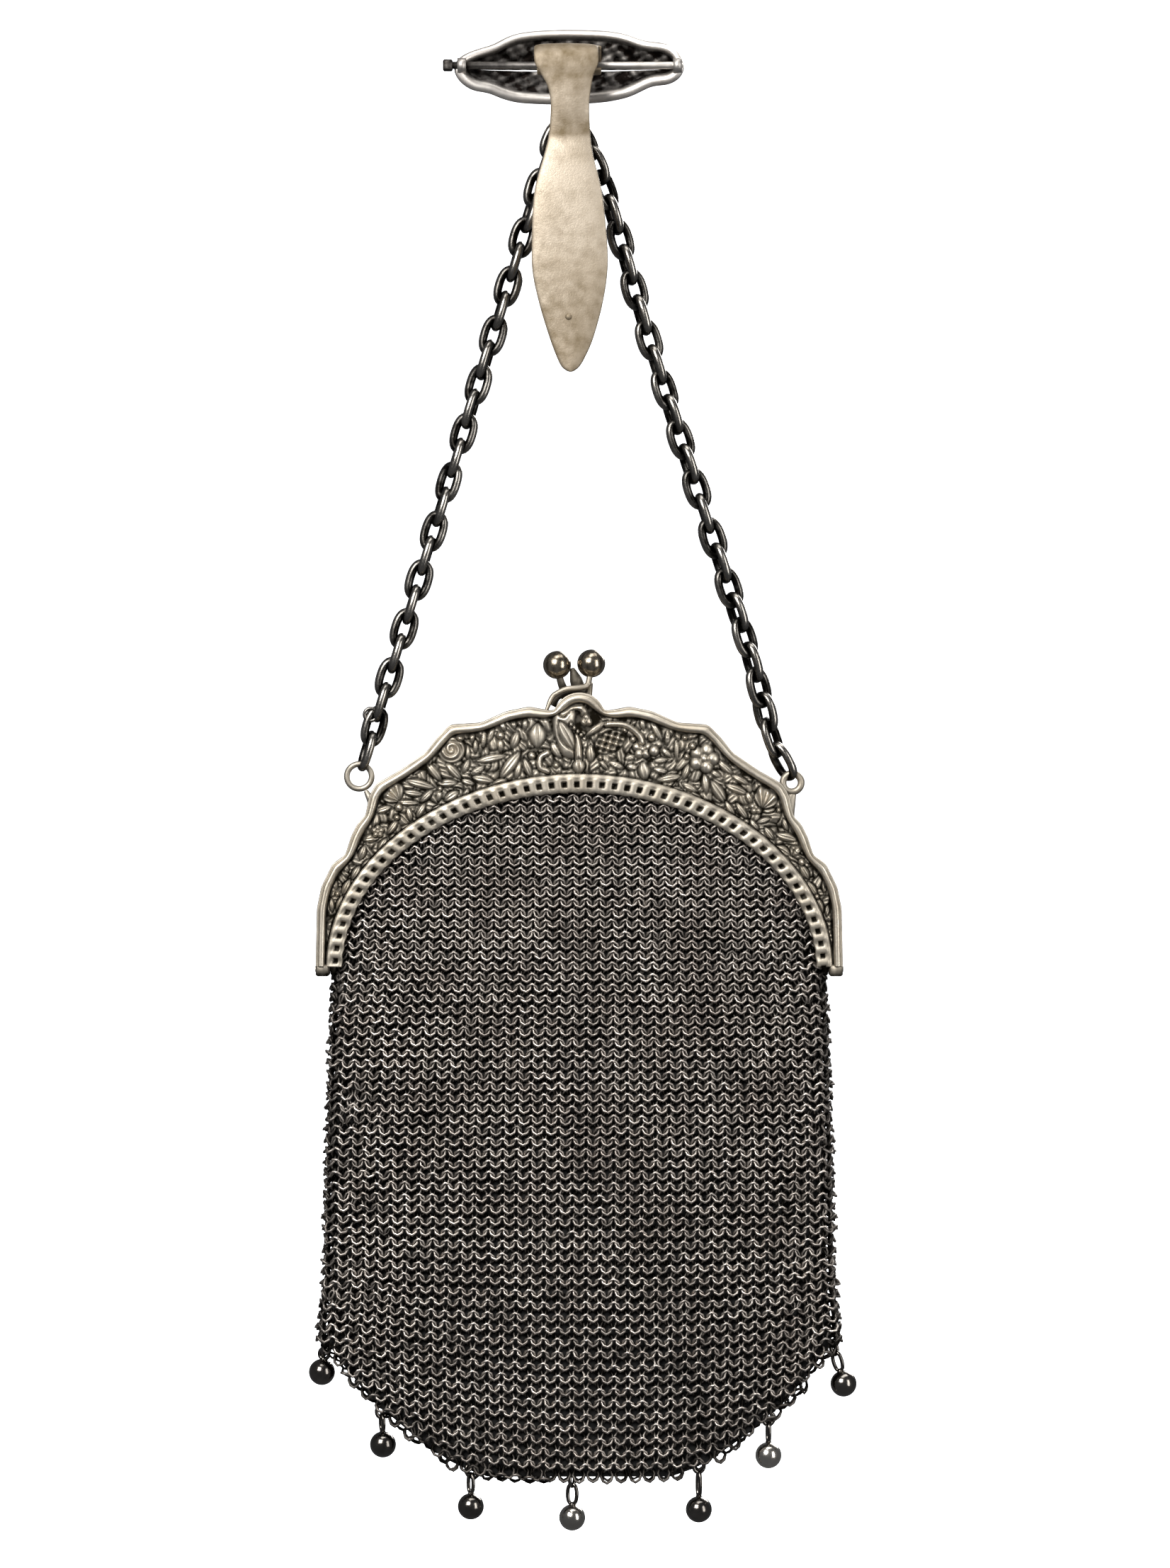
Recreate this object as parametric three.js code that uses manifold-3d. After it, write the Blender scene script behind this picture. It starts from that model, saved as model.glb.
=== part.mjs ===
// A metal mesh purse hung from a belt hook by two runs of oval chain.
// Millimetres, +Z up. The viewer looks along +Y, and the origin is the seat under the hook's arch,
// where the top edge of a belt sits.

import * as THREE from 'three';
import { mergeVertices } from 'three/addons/utils/BufferGeometryUtils.js';
import Module from 'manifold-3d';

const wasm = await Module();
wasm.setup();

// Gaps between pieces
const fit = 0.3;
const seam = 0.15;
const weld = 0.15;

// Purse frame: two pressed halves hinged at the ends of their legs
const frameHalfWidth = 55;
const frameRise = 58;
const frameHalfDepth = 5.5;
const rimWidth = 1.6;
const rimBite = 0.4;
const plateThickness = 1;
const fieldSink = 0.5;
const bandWidth = 3;
const legWidth = 5;
const crownHeight = 20.4;
const archHalfWidth = frameHalfWidth - legWidth;
const archRise = frameRise - crownHeight;
const domeRadius = 5.5;
const domeStart = 18;
const hangDrop = 191.5;
const hangAside = 2.1;

// Stitch holes along the band
const holeSize = 0.9;
const holePitch = 2.8;

// Hinge at each leg
const knuckleHalfHeight = 1.5;
const knuckleLength = 1.7;
const pinRadius = 0.6;

// Kiss clasp
const claspBallRadius = 2.66;
const claspStemRadius = 0.9;
const claspRise = 6.1;
const claspCrossShare = 0.33;
const claspFrontAside = 2.4;
const claspBackAside = 4.7;

// Eyes that take the chain
const eyeRadius = 2.85;
const eyeWire = 0.55;
const eyeForward = 1;
const eyePostRadius = 0.77;
const eyePostLean = 30;

// Relief on the field
const reliefHeight = 0.45;
const reliefSunk = 0.25;

// Mesh bag
const bagBulge = 0.3;
const bagHalfWidth = frameHalfWidth + bagBulge;
const bagDrop = 108;
const bagHalfDepth = 7;
const bagWall = 1.4;
const bagOverlap = 2.2;
const bagShoulderOverlap = 1;
const bagHemHeight = 3.5;
const bagEdgeAcross = 0.8;
const bagEdgeOut = 0.5;
const bagFlatShare = 1.04;

// Ball drops
const ballRadius = 2.75;
const dropLoopRadius = 1.5;
const dropLoopWire = 0.42;
const dropBite = 1;

// Chain
const chainLinks = 27;
const chainWire = 0.7;
const chainLinkHalfWidth = 2.4;

// Rings that join the chain to the hook
const ringWire = 0.6;
const hangingRingRadius = 2.5;
const gatherRingRadius = 3.2;
const gatherTurn = 30;

// Belt hook
const rodRadius = 0.75;
const rodBack = 4.2;
const rodDown = 2.8;
const rodRight = 23.9;
const rodKnob = 1.2;
const plaqueHalfLength = 24.8;
const plaqueHalfHeight = 6.9;
const plaqueDown = 3.5;
const plaqueBow = 4.4;
const plaqueHollow = 1.6;
const plaqueWall = 1.1;
const lugLength = 2;
const lugHalfSize = 1.8;
const lugInset = 0.8;
const tongueThickness = 1;
const tongueEdge = 0.6;
const tongueHalfWidth = 7.9;
const tongueDrop = 67;
const tongueForward = 4.6;
const tongueFlare = 1.5;
const forkHalfWidth = 2.7;
const forkFront = 1;

// How finely round forms are made: steps along curves, sides around, and sides of their wire
const archSteps = 26;
const domeSteps = 6;
const ringSides = 12;
const bagColumns = 28;
const bagCutSides = 4;
const linkSides = 8;
const wireSides = 5;
const stemSides = 6;
const pinSides = 8;
const rodSides = 10;
const ballSides = 10;
const ballRows = 6;

// Half of the frame's outline, from the leg's foot to the notch beside the dome
const frameOutline = [
  { across: 1.0, up: -0.02 },
  { across: 0.995, up: 0.224 },
  { across: 0.978, up: 0.302 },
  { across: 0.936, up: 0.383 },
  { across: 0.888, up: 0.415 },
  { across: 0.865, up: 0.483 },
  { across: 0.842, up: 0.526 },
  { across: 0.811, up: 0.557 },
  { across: 0.796, up: 0.629 },
  { across: 0.769, up: 0.672 },
  { across: 0.685, up: 0.717 },
  { across: 0.582, up: 0.784 },
  { across: 0.542, up: 0.833 },
  { across: 0.491, up: 0.883 },
  { across: 0.376, up: 0.89 },
  { across: 0.28, up: 0.931 },
  { across: 0.191, up: 0.948 },
  { across: 0.111, up: 0.934 },
];

// The eyes' places: across as a share of the frame's half width, up as a share of its rise
const eyePlace = { across: 0.82, up: 0.6845 };

// Leaves and buds of the relief: turn from the top in degrees, place between band and rim,
// lean from the radial line in degrees, length and width as shares of the field's depth there
const leaves = [
  { turn: 15, place: 0.45, lean: 35, length: 0.75, width: 0.22 },
  { turn: 23, place: 0.5, lean: -35, length: 0.7, width: 0.2 },
  { turn: 31, place: 0.5, lean: 0, length: 0.5, width: 0.5 },
  { turn: 36, place: 0.4, lean: 40, length: 0.8, width: 0.24 },
  { turn: 44, place: 0.5, lean: -35, length: 0.9, width: 0.28 },
  { turn: 51, place: 0.5, lean: 15, length: 0.7, width: 0.6 },
  { turn: 59, place: 0.5, lean: -30, length: 1.0, width: 0.4 },
  { turn: 67, place: 0.5, lean: 60, length: 1.1, width: 0.5 },
];

// The bird in the middle of the frame: aside and height as shares of the dome's radius from its centre
const birdPieces = [
  { aside: -0.6, up: -0.8, lean: 15, length: 1.6, width: 0.6 },
  { aside: 0.05, up: -0.55, lean: -4, length: 2.4, width: 0.3 },
  { aside: 1.05, up: -0.9, lean: -40, length: 1.5, width: 0.7 },
];

// Rows of the bag below the hinge: down as a share of its drop, width and depth as shares of the largest
const bagRows = [
  { down: 0.075, width: 0.928, depth: 0.85 },
  { down: 0.36, width: 0.962, depth: 1.0 },
  { down: 0.68, width: 0.987, depth: 0.86 },
  { down: 0.725, width: 1.0, depth: 0.78 },
  { down: 0.77, width: 0.918, depth: 0.66 },
  { down: 0.84, width: 0.812, depth: 0.5 },
  { down: 0.915, width: 0.638, depth: 0.36 },
  { down: 0.965, width: 0.5, depth: 0.29 },
  { down: 1.0, width: 0.3, depth: 0.2 },
];

// Upright folds of the mesh: place across as a share of the half width, width alike, depth in walls
const bagFolds = [
  { across: -0.87, width: 0.06, depth: 0.7 },
  { across: -0.3, width: 0.12, depth: 0.35 },
  { across: 0.42, width: 0.12, depth: 0.35 },
  { across: 0.84, width: 0.07, depth: 0.8 },
];

// Drops: place across as a share of the bag's half width, half the loop's length in ball radii,
// lean to the right in degrees
const drops = [
  { across: -0.965, loop: 0.55, lean: -7 },
  { across: -0.75, loop: 0.91, lean: 2 },
  { across: -0.412, loop: 1.05, lean: 0 },
  { across: -0.027, loop: 1.09, lean: 0 },
  { across: 0.454, loop: 1.31, lean: 0 },
  { across: 0.718, loop: 1.05, lean: 0 },
  { across: 0.965, loop: 1.05, lean: 15 },
];

// The chain's route: steps aside from the straight line, in millimetres, at shares of its length
const chainRoutes = [
  { name: 'left', side: -1, drift: 18, bends: [{ along: 0.5, aside: 0.1 }] },
  {
    name: 'right',
    side: 1,
    drift: 40,
    bends: [
      { along: 0.14, aside: 0.4 },
      { along: 0.3, aside: -1.7 },
      { along: 0.6, aside: -2.2 },
      { along: 0.88, aside: -1.9 },
    ],
  },
];

// A quarter of the plaque's outline as shares of its half length and half height
const plaqueOutline = [
  { across: 1.0, up: 0.12 },
  { across: 0.95, up: 0.46 },
  { across: 0.82, up: 0.66 },
  { across: 0.66, up: 0.68 },
  { across: 0.6, up: 0.86 },
  { across: 0.3, up: 0.98 },
];

// The plaque's section from its hollow out over the rim and back: place out from the centre,
// step back from the rim's plane in hollows, and in walls
const plaqueSection = [
  { out: 0.04, hollow: 1.0, wall: 0 },
  { out: 0.6, hollow: 0.7, wall: 0 },
  { out: 0.86, hollow: 0.15, wall: 0 },
  { out: 0.93, hollow: -0.55, wall: 0 },
  { out: 1.0, hollow: 0, wall: 0.2 },
  { out: 0.93, hollow: 0.2, wall: 1 },
  { out: 0.6, hollow: 0.7, wall: 1 },
  { out: 0.04, hollow: 1.0, wall: 1 },
];

// The tongue's centre line from the arch down: forward as a share of its forward reach, down as a
// share of its drop, width as a share of its largest half width, flare as a share of the tip's
const tongueStations = [
  { forward: -0.62, down: 0.0035, width: 0.85, flare: 0 },
  { forward: -0.3, down: -0.006, width: 0.85, flare: 0 },
  { forward: 0.1, down: -0.0075, width: 0.85, flare: 0 },
  { forward: 0.6, down: -0.002, width: 0.85, flare: 0 },
  { forward: 0.93, down: 0.018, width: 0.85, flare: 0 },
  { forward: 1.0, down: 0.05, width: 0.82, flare: 0 },
  { forward: 1.0, down: 0.09, width: 0.66, flare: 0 },
  { forward: 0.99, down: 0.148, width: 0.57, flare: 0 },
  { forward: 0.93, down: 0.215, width: 0.56, flare: 0 },
  { forward: 0.9, down: 0.27, width: 0.59, flare: 0 },
  { forward: 0.92, down: 0.34, width: 0.7, flare: 0.1 },
  { forward: 1.0, down: 0.45, width: 0.94, flare: 0.25 },
  { forward: 1.0, down: 0.61, width: 1.0, flare: 0.5 },
  { forward: 1.0, down: 0.7, width: 0.95, flare: 0.65 },
  { forward: 1.0, down: 0.8, width: 0.72, flare: 0.8 },
  { forward: 1.0, down: 0.94, width: 0.3, flare: 0.95 },
  { forward: 1.0, down: 1.0, width: 0.06, flare: 1 },
];
const curlFrom = -150;
const curlTo = 60;
const curlStep = 30;

const rad = THREE.MathUtils.degToRad;

// Closed geometry to a solid that can be joined and cut
function solid(geometry) {
  const bare = geometry.clone();
  bare.deleteAttribute('normal');
  bare.deleteAttribute('uv');
  const merged = mergeVertices(bare, 1e-4);
  const triVerts = [];
  for (let i = 0; i < merged.index.count; i += 3) {
    const [a, b, c] = [0, 1, 2].map((k) => merged.index.getX(i + k));
    if (a !== b && b !== c && c !== a) triVerts.push(a, b, c);
  }
  const vertProperties = merged.attributes.position.array;
  return new wasm.Manifold(
    new wasm.Mesh({ numProp: 3, vertProperties, triVerts: new Uint32Array(triVerts) }),
  );
}

function joined(solids) {
  return solids.reduce((sum, next) => sum.add(next));
}

// A solid back to a named mesh with a material of its own
function mesh(name, body, color, roughness) {
  const data = body.getMesh();
  const geometry = new THREE.BufferGeometry();
  geometry.setAttribute('position', new THREE.BufferAttribute(data.vertProperties, 3));
  geometry.setIndex(new THREE.BufferAttribute(data.triVerts, 1));
  geometry.computeVertexNormals();
  const material = new THREE.MeshStandardMaterial({ color, roughness, metalness: 1 });
  const made = new THREE.Mesh(geometry, material);
  made.name = name;
  return made;
}

// A skin carried through rings of equally many points, closed by a fan at each end
function loft(rings) {
  const count = rings[0].length;
  const points = rings.flat();
  const index = [];
  for (let r = 0; r + 1 < rings.length; r++) {
    for (let i = 0; i < count; i++) {
      const j = (i + 1) % count;
      const [a, b] = [r * count + i, r * count + j];
      index.push(a, b, b + count, a, b + count, a + count);
    }
  }
  const fan = (ring, first, turned) => {
    const centre = ring.reduce((sum, p) => sum.add(p), new THREE.Vector3()).divideScalar(count);
    points.push(centre);
    for (let i = 0; i < count; i++) {
      const [a, b] = [first + i, first + ((i + 1) % count)];
      index.push(...(turned ? [a, b, points.length - 1] : [b, a, points.length - 1]));
    }
  };
  fan(rings[0], 0, false);
  fan(rings[rings.length - 1], (rings.length - 1) * count, true);
  const geometry = new THREE.BufferGeometry().setFromPoints(points);
  geometry.setIndex(index);
  return geometry;
}

// A flat shape drawn in X and Z, made a slab between two depths
function slab(shape, front, back) {
  const geometry = new THREE.ExtrudeGeometry(shape, { depth: back - front, bevelEnabled: false });
  return solid(geometry.rotateX(Math.PI / 2).translate(0, back, 0));
}

function box(low, high) {
  const size = high.map((h, k) => h - low[k]);
  const middle = high.map((h, k) => (h + low[k]) / 2);
  return solid(new THREE.BoxGeometry(...size).translate(...middle));
}

// A round bar between two points
function bar(from, to, radius, sides) {
  const along = new THREE.Vector3().subVectors(to, from);
  const geometry = new THREE.CylinderGeometry(radius, radius, along.length(), sides);
  const turn = new THREE.Quaternion().setFromUnitVectors(
    new THREE.Vector3(0, 1, 0),
    along.clone().normalize(),
  );
  geometry.applyQuaternion(turn);
  const middle = new THREE.Vector3().addVectors(from, to).divideScalar(2);
  return solid(geometry.translate(middle.x, middle.y, middle.z));
}

function ball(centre, radius) {
  return solid(
    new THREE.SphereGeometry(radius, ballSides, ballRows)
      .rotateX(Math.PI / 2)
      .translate(centre.x, centre.y, centre.z),
  );
}

// A round ring: facing the viewer, or edge on to the viewer
function ring(centre, radius, wire, edgeOn) {
  const geometry = new THREE.TorusGeometry(radius, wire, wireSides, ringSides);
  if (edgeOn) geometry.rotateY(Math.PI / 2);
  else geometry.rotateX(Math.PI / 2);
  return solid(geometry.translate(centre.x, centre.y, centre.z));
}

// Frame outline and arch

// The whole outline from the right foot over the dome to the left foot
function framePath() {
  const half = frameOutline.map(
    (p) => new THREE.Vector2(p.across * frameHalfWidth, p.up * frameRise),
  );
  const dome = [];
  for (let i = 0; i <= domeSteps; i++) {
    const turn = rad(domeStart + ((180 - 2 * domeStart) * i) / domeSteps);
    dome.push(
      new THREE.Vector2(
        domeRadius * Math.cos(turn),
        frameRise - domeRadius + domeRadius * Math.sin(turn),
      ),
    );
  }
  const left = half.map((p) => new THREE.Vector2(-p.x, p.y)).reverse();
  return [...half, ...dome, ...left];
}

// The outline moved inwards by a distance along the mean of its two edges' normals
function inset(path, distance) {
  return path.map((p, i) => {
    const before = path[Math.max(i - 1, 0)];
    const after = path[Math.min(i + 1, path.length - 1)];
    const along = new THREE.Vector2().subVectors(after, before).normalize();
    const foot = i === 0 || i === path.length - 1;
    const inward = foot
      ? new THREE.Vector2(-Math.sign(p.x), 0)
      : new THREE.Vector2(-along.y, along.x);
    return new THREE.Vector2(p.x + inward.x * distance, p.y + inward.y * distance);
  });
}

// A half ellipse round the middle of the hinge line, from right to left, grown outwards by a distance
function archArc(grown) {
  const points = [];
  for (let i = 0; i <= archSteps; i++) {
    const turn = (Math.PI * i) / archSteps;
    const across = (archHalfWidth + grown) * Math.cos(turn);
    points.push(new THREE.Vector2(across, (archRise + grown) * Math.sin(turn)));
  }
  return points;
}

// The arch with its two feet
function archPath() {
  const foot = frameOutline[0].up * frameRise;
  return [
    new THREE.Vector2(archHalfWidth, foot),
    ...archArc(0),
    new THREE.Vector2(-archHalfWidth, foot),
  ];
}

// How far the outline lies from the middle of the hinge line, at a turn from the top
function outlineReach(path, turn) {
  const ray = new THREE.Vector2(Math.sin(turn), Math.cos(turn));
  for (let i = 0; i + 1 < path.length; i++) {
    const [a, b] = [path[i], path[i + 1]];
    const edge = new THREE.Vector2().subVectors(b, a);
    const across = ray.cross(edge);
    const reach = a.cross(edge) / across;
    const share = a.cross(ray) / across;
    if (reach > 0 && share >= 0 && share <= 1) return reach;
  }
  return frameRise;
}

function archReach(turn, grown) {
  const [a, b] = [archHalfWidth + grown, archRise + grown];
  return 1 / Math.hypot(Math.sin(turn) / a, Math.cos(turn) / b);
}

const fieldFront = -frameHalfDepth + fieldSink;
const plateBack = fieldFront + plateThickness;

// A low leaf with a ridge, standing on the field
function leaf(x, z, lean, length, width) {
  const geometry = new THREE.ConeGeometry(1, 1, 4, 1)
    .rotateX(Math.PI / 2)
    .translate(0, 0, 0.5)
    .scale(width / 2, length / 2, reliefHeight + reliefSunk)
    .rotateZ(-lean)
    .rotateX(Math.PI / 2);
  return solid(geometry.translate(x, fieldFront + reliefSunk, z));
}

function relief() {
  const path = inset(framePath(), rimWidth);
  const made = [];
  for (const side of [-1, 1]) {
    for (const row of leaves) {
      const turn = rad(row.turn) * side;
      const near = archReach(turn, bandWidth);
      const depth = outlineReach(path, turn) - near;
      const reach = near + depth * row.place;
      made.push(
        leaf(
          reach * Math.sin(turn),
          reach * Math.cos(turn),
          turn + rad(row.lean) * side,
          depth * row.length,
          depth * row.width,
        ),
      );
    }
  }
  for (const row of birdPieces) {
    const z = frameRise - domeRadius + row.up * domeRadius;
    const [length, width] = [row.length * domeRadius, row.width * domeRadius];
    made.push(leaf(row.aside * domeRadius, z, rad(row.lean), length, width));
  }
  return made;
}

// Square holes at an even pitch along the middle of the band
function stitchHoles() {
  const line = new THREE.CurvePath();
  const path = archArc(bandWidth / 2);
  path.slice(1).forEach((p, i) => line.add(new THREE.LineCurve(path[i], p)));
  const count = Math.floor(line.getLength() / holePitch);
  const holes = [];
  for (let i = 0; i < count; i++) {
    const share = (i + 0.5) / count;
    const centre = line.getPointAt(share);
    const turn = Math.atan2(centre.y, centre.x);
    const corners = [0, 1, 2, 3].map((k) => {
      const corner = turn + Math.PI / 4 + (k * Math.PI) / 2;
      const reach = holeSize / Math.SQRT2;
      return new THREE.Vector2(
        centre.x + reach * Math.cos(corner),
        centre.y + reach * Math.sin(corner),
      );
    });
    holes.push(new THREE.Path(corners));
  }
  return holes;
}

// One half of the frame without its hinge and clasp, as seen from its own side
function frameHalf() {
  const outline = framePath();
  const between = (outer, inner) => new THREE.Shape([...outer, ...inner.slice().reverse()]);
  const rim = between(outline, inset(outline, rimWidth));
  const plate = between(inset(outline, rimWidth - rimBite), archPath());
  plate.holes.push(...stitchHoles());
  return [slab(rim, -frameHalfDepth, -seam), slab(plate, fieldFront, plateBack), ...relief()];
}

// A hinge block that reaches from the leg over the hinge line
function knuckle(side, near) {
  const [low, high] = [near, near + knuckleLength].map((x) => x * side).sort((a, b) => a - b);
  const k = knuckleHalfHeight;
  return box([low, fieldFront, -k], [high, k, k]);
}

function acrossBar(from, to, radius, sides, y, z) {
  return bar(new THREE.Vector3(from, y, z), new THREE.Vector3(to, y, z), radius, sides);
}

// The stems cross, so each foot lies a little past the middle on the other side from its ball
function claspKnob(aside) {
  const foot = new THREE.Vector3(
    -aside * claspCrossShare,
    -frameHalfDepth / 2,
    frameRise - rimWidth / 2,
  );
  const top = new THREE.Vector3(aside, 0, frameRise + claspRise);
  return bar(foot, top, claspStemRadius, stemSides).add(ball(top, claspBallRadius));
}

const outerKnuckle = frameHalfWidth - knuckleLength;
const innerKnuckle = outerKnuckle - fit - knuckleLength;
const boreRadius = pinRadius + fit;
const past = frameHalfWidth + 1;

function eyeCentre(side) {
  const [aside, up] = [eyePlace.across * frameHalfWidth, eyePlace.up * frameRise];
  return new THREE.Vector3(side * aside, -eyeForward, up);
}

function frameFront() {
  const parts = [...frameHalf(), claspKnob(claspFrontAside)];
  for (const side of [-1, 1]) {
    parts.push(knuckle(side, outerKnuckle));
    const centre = eyeCentre(side);
    parts.push(ring(centre, eyeRadius, eyeWire, false));
    const lean = rad(eyePostLean);
    const outwards = new THREE.Vector3(side * Math.sin(lean), 0, Math.cos(lean));
    const near = centre.clone().addScaledVector(outwards, -eyeRadius);
    const root = centre.clone().addScaledVector(outwards, -eyeRadius - rimWidth);
    parts.push(bar(near, root, eyePostRadius, stemSides));
  }
  const bore = acrossBar(-past, past, boreRadius, pinSides, 0, 0);
  return joined(parts).subtract(bore);
}

function frameBack() {
  const parts = [...frameHalf(), claspKnob(claspBackAside)];
  for (const side of [-1, 1]) parts.push(knuckle(side, innerKnuckle));
  const bore = acrossBar(-past, past, boreRadius, pinSides, 0, 0);
  const room = [-1, 1].map((side) => {
    const [low, high] = [outerKnuckle - fit, past]
      .map((x) => x * side)
      .sort((a, b) => a - b);
    const k = knuckleHalfHeight + fit;
    return box([low, -k, -2 * k], [high, k, k]);
  });
  const half = joined(parts).subtract(bore);
  return room.reduce((rest, cut) => rest.subtract(cut), half).rotate([0, 0, 180]);
}

function hingePin(side) {
  const from = innerKnuckle * side;
  const to = (frameHalfWidth + fit) * side;
  return acrossBar(from, to, pinRadius, pinSides, 0, 0);
}

// Mesh bag

const bagMouthDepth = -plateBack - fit;
const bagShoulder = archHalfWidth + bagShoulderOverlap;

// One closed ring of points round the bag, at a row from the mouth (0) to the hem
function bagRing(row, inner) {
  const points = [];
  const wall = inner ? bagWall : 0;
  for (let i = 0; i < bagColumns; i++) {
    const turn = (2 * Math.PI * (i + 0.5)) / bagColumns;
    const cos = Math.cos(turn);
    const sin = Math.sin(turn);
    const across = Math.sign(cos) * Math.abs(cos) ** bagEdgeAcross;
    const out = Math.sign(sin) * Math.min(1, Math.abs(sin) ** bagEdgeOut * bagFlatShare);
    const place = row(across);
    const fold = bagFolds
      .map((f) => f.depth * Math.exp(-(((across - f.across) / f.width) ** 2)))
      .reduce((sum, d) => sum + d, 0);
    const depth = Math.max(place.depth - fold * bagWall * place.slack - wall, bagWall / 4);
    const width = Math.max(place.width - wall, bagWall / 2);
    points.push(new THREE.Vector3(across * width, out * depth, place.z));
  }
  return points;
}

// The rows: the mouth follows the arch, the next eases down to the hinge line, the rest are the table's
function bagRowShapes() {
  const first = bagRows[0];
  const foot = knuckleHalfHeight + 2 * fit;
  const mouthZ = (across) =>
    (archRise + bagOverlap + foot) * Math.sqrt(Math.max(0, 1 - across * across)) - foot;
  const mouth = (across) => ({
    z: mouthZ(across),
    width: bagShoulder,
    depth: bagMouthDepth,
    slack: 0,
  });
  const middle = (across) => ({
    z: (mouthZ(across) - first.down * bagDrop) / 2,
    width: (bagShoulder + first.width * bagHalfWidth) / 2,
    depth: (bagMouthDepth + first.depth * bagHalfDepth) / 2 + bagWall / 4,
    slack: 0.5,
  });
  const rest = bagRows.map((r) => () => ({
    z: -r.down * bagDrop,
    width: r.width * bagHalfWidth,
    depth: r.depth * bagHalfDepth,
    slack: r.depth,
  }));
  return [mouth, middle, ...rest];
}

function meshBag(rings) {
  const rows = bagRowShapes();
  const outer = rows.map((row) => bagRing(row, false)).reverse();
  const floor = -bagDrop + bagHemHeight;
  const inner = rows.map((row) =>
    bagRing(row, true).map((p) => new THREE.Vector3(p.x, p.y, Math.max(p.z, floor))),
  );
  const aboveFloor = inner.filter((points, i) => i < 2 || points[0].z > floor);
  const skin = solid(loft([...outer, ...aboveFloor]));
  return rings.reduce((bag, cut) => bag.subtract(cut), skin);
}

// The height of the bag's edge at a distance from its middle
function hemHeight(x) {
  const lower = bagRows.filter((r) => r.down >= widestRow().down);
  for (let i = 0; i + 1 < lower.length; i++) {
    const [a, b] = [lower[i], lower[i + 1]].map((r) => ({
      x: r.width * bagHalfWidth,
      z: -r.down * bagDrop,
    }));
    if (Math.abs(x) >= b.x) {
      return a.z + ((b.z - a.z) * (a.x - Math.abs(x))) / (a.x - b.x);
    }
  }
  return -bagDrop;
}

function widestRow() {
  return bagRows.reduce((best, row) => (row.width > best.width ? row : best));
}

// Ball drops

// An oval ring with its length upright, seen edge on: a round ring whose two halves are moved apart
function ovalRing(radius, wire, sides, halfLength) {
  const geometry = new THREE.TorusGeometry(radius, -wire, sides, linkSides);
  const place = geometry.attributes.position;
  const stretch = Math.max(0, halfLength - radius);
  for (let i = 0; i < place.count; i++) {
    place.setX(i, place.getX(i) + Math.sign(place.getX(i)) * stretch);
  }
  return geometry;
}

// The places of one drop's loop and ball, upright under the hem
function dropPlaces(row) {
  const x = row.across * bagHalfWidth;
  const bite = new THREE.Vector3(x, 0, hemHeight(x) + dropBite);
  const halfLoop = Math.max(row.loop * ballRadius, dropLoopRadius);
  const down = (distance) => bite.clone().add(new THREE.Vector3(0, 0, -distance));
  return {
    bite,
    halfLoop,
    loop: down(halfLoop),
    ball: down(2 * halfLoop + ballRadius - dropLoopWire),
  };
}

// Leans a solid about the point where the drop bites into the hem
function leaned(body, row, bite) {
  return body
    .translate([-bite.x, -bite.y, -bite.z])
    .rotate([0, -row.lean, 0])
    .translate([bite.x, bite.y, bite.z]);
}

function dropLoop(row, wire, sides) {
  const places = dropPlaces(row);
  const geometry = ovalRing(dropLoopRadius, wire, sides, places.halfLoop)
    .rotateX(Math.PI / 2)
    .rotateY(Math.PI / 2)
    .rotateZ(Math.PI / 2)
    .translate(places.loop.x, places.loop.y, places.loop.z);
  return solid(geometry);
}

function dropBall(row) {
  const places = dropPlaces(row);
  const made = dropLoop(row, dropLoopWire, wireSides).add(ball(places.ball, ballRadius));
  return leaned(made, row, places.bite);
}

function dropRoom(row) {
  return leaned(dropLoop(row, dropLoopWire + fit, bagCutSides), row, dropPlaces(row).bite);
}

// Rod, plaque and tongue

const rodCentre = new THREE.Vector3(0, rodBack, -rodDown);

function hookRod() {
  const left = -plaqueHalfLength - fit;
  const shaft = acrossBar(left - rodKnob / 2, rodRight, rodRadius, rodSides, rodBack, -rodDown);
  const k = rodKnob;
  const knob = box([left - k, rodBack - k, -rodDown - k], [left, rodBack + k, -rodDown + k]);
  return shaft.add(knob);
}

function plaqueOutlinePath() {
  const quarter = plaqueOutline.map(
    (p) => new THREE.Vector2(p.across * plaqueHalfLength, p.up * plaqueHalfHeight),
  );
  const half = [...quarter, ...quarter.map((p) => new THREE.Vector2(-p.x, p.y)).reverse()];
  return [...half, ...half.map((p) => new THREE.Vector2(p.x, -p.y)).reverse()];
}

function hookPlaque() {
  const outline = plaqueOutlinePath();
  const rings = plaqueSection.map((s) =>
    outline.map((p) => {
      const x = p.x * s.out;
      const bow = plaqueBow * (1 - (x / plaqueHalfLength) ** 2);
      const y = rodBack + bow + s.hollow * plaqueHollow + s.wall * plaqueWall;
      return new THREE.Vector3(x, y, -plaqueDown + p.y * s.out);
    }),
  );
  const lugs = [-1, 1].map((side) => {
    const end = plaqueHalfLength - lugInset;
    const [low, high] = [end - lugLength, end]
      .map((x) => x * side)
      .sort((a, b) => a - b);
    const k = lugHalfSize;
    return box([low, rodBack - k, -rodDown - k], [high, rodBack + k, -rodDown + k]);
  });
  const reach = plaqueHalfLength + 1;
  const bore = acrossBar(-reach, reach, rodRadius + fit, rodSides, rodBack, -rodDown);
  return joined([solid(loft(rings.reverse())), ...lugs]).subtract(bore);
}

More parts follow.
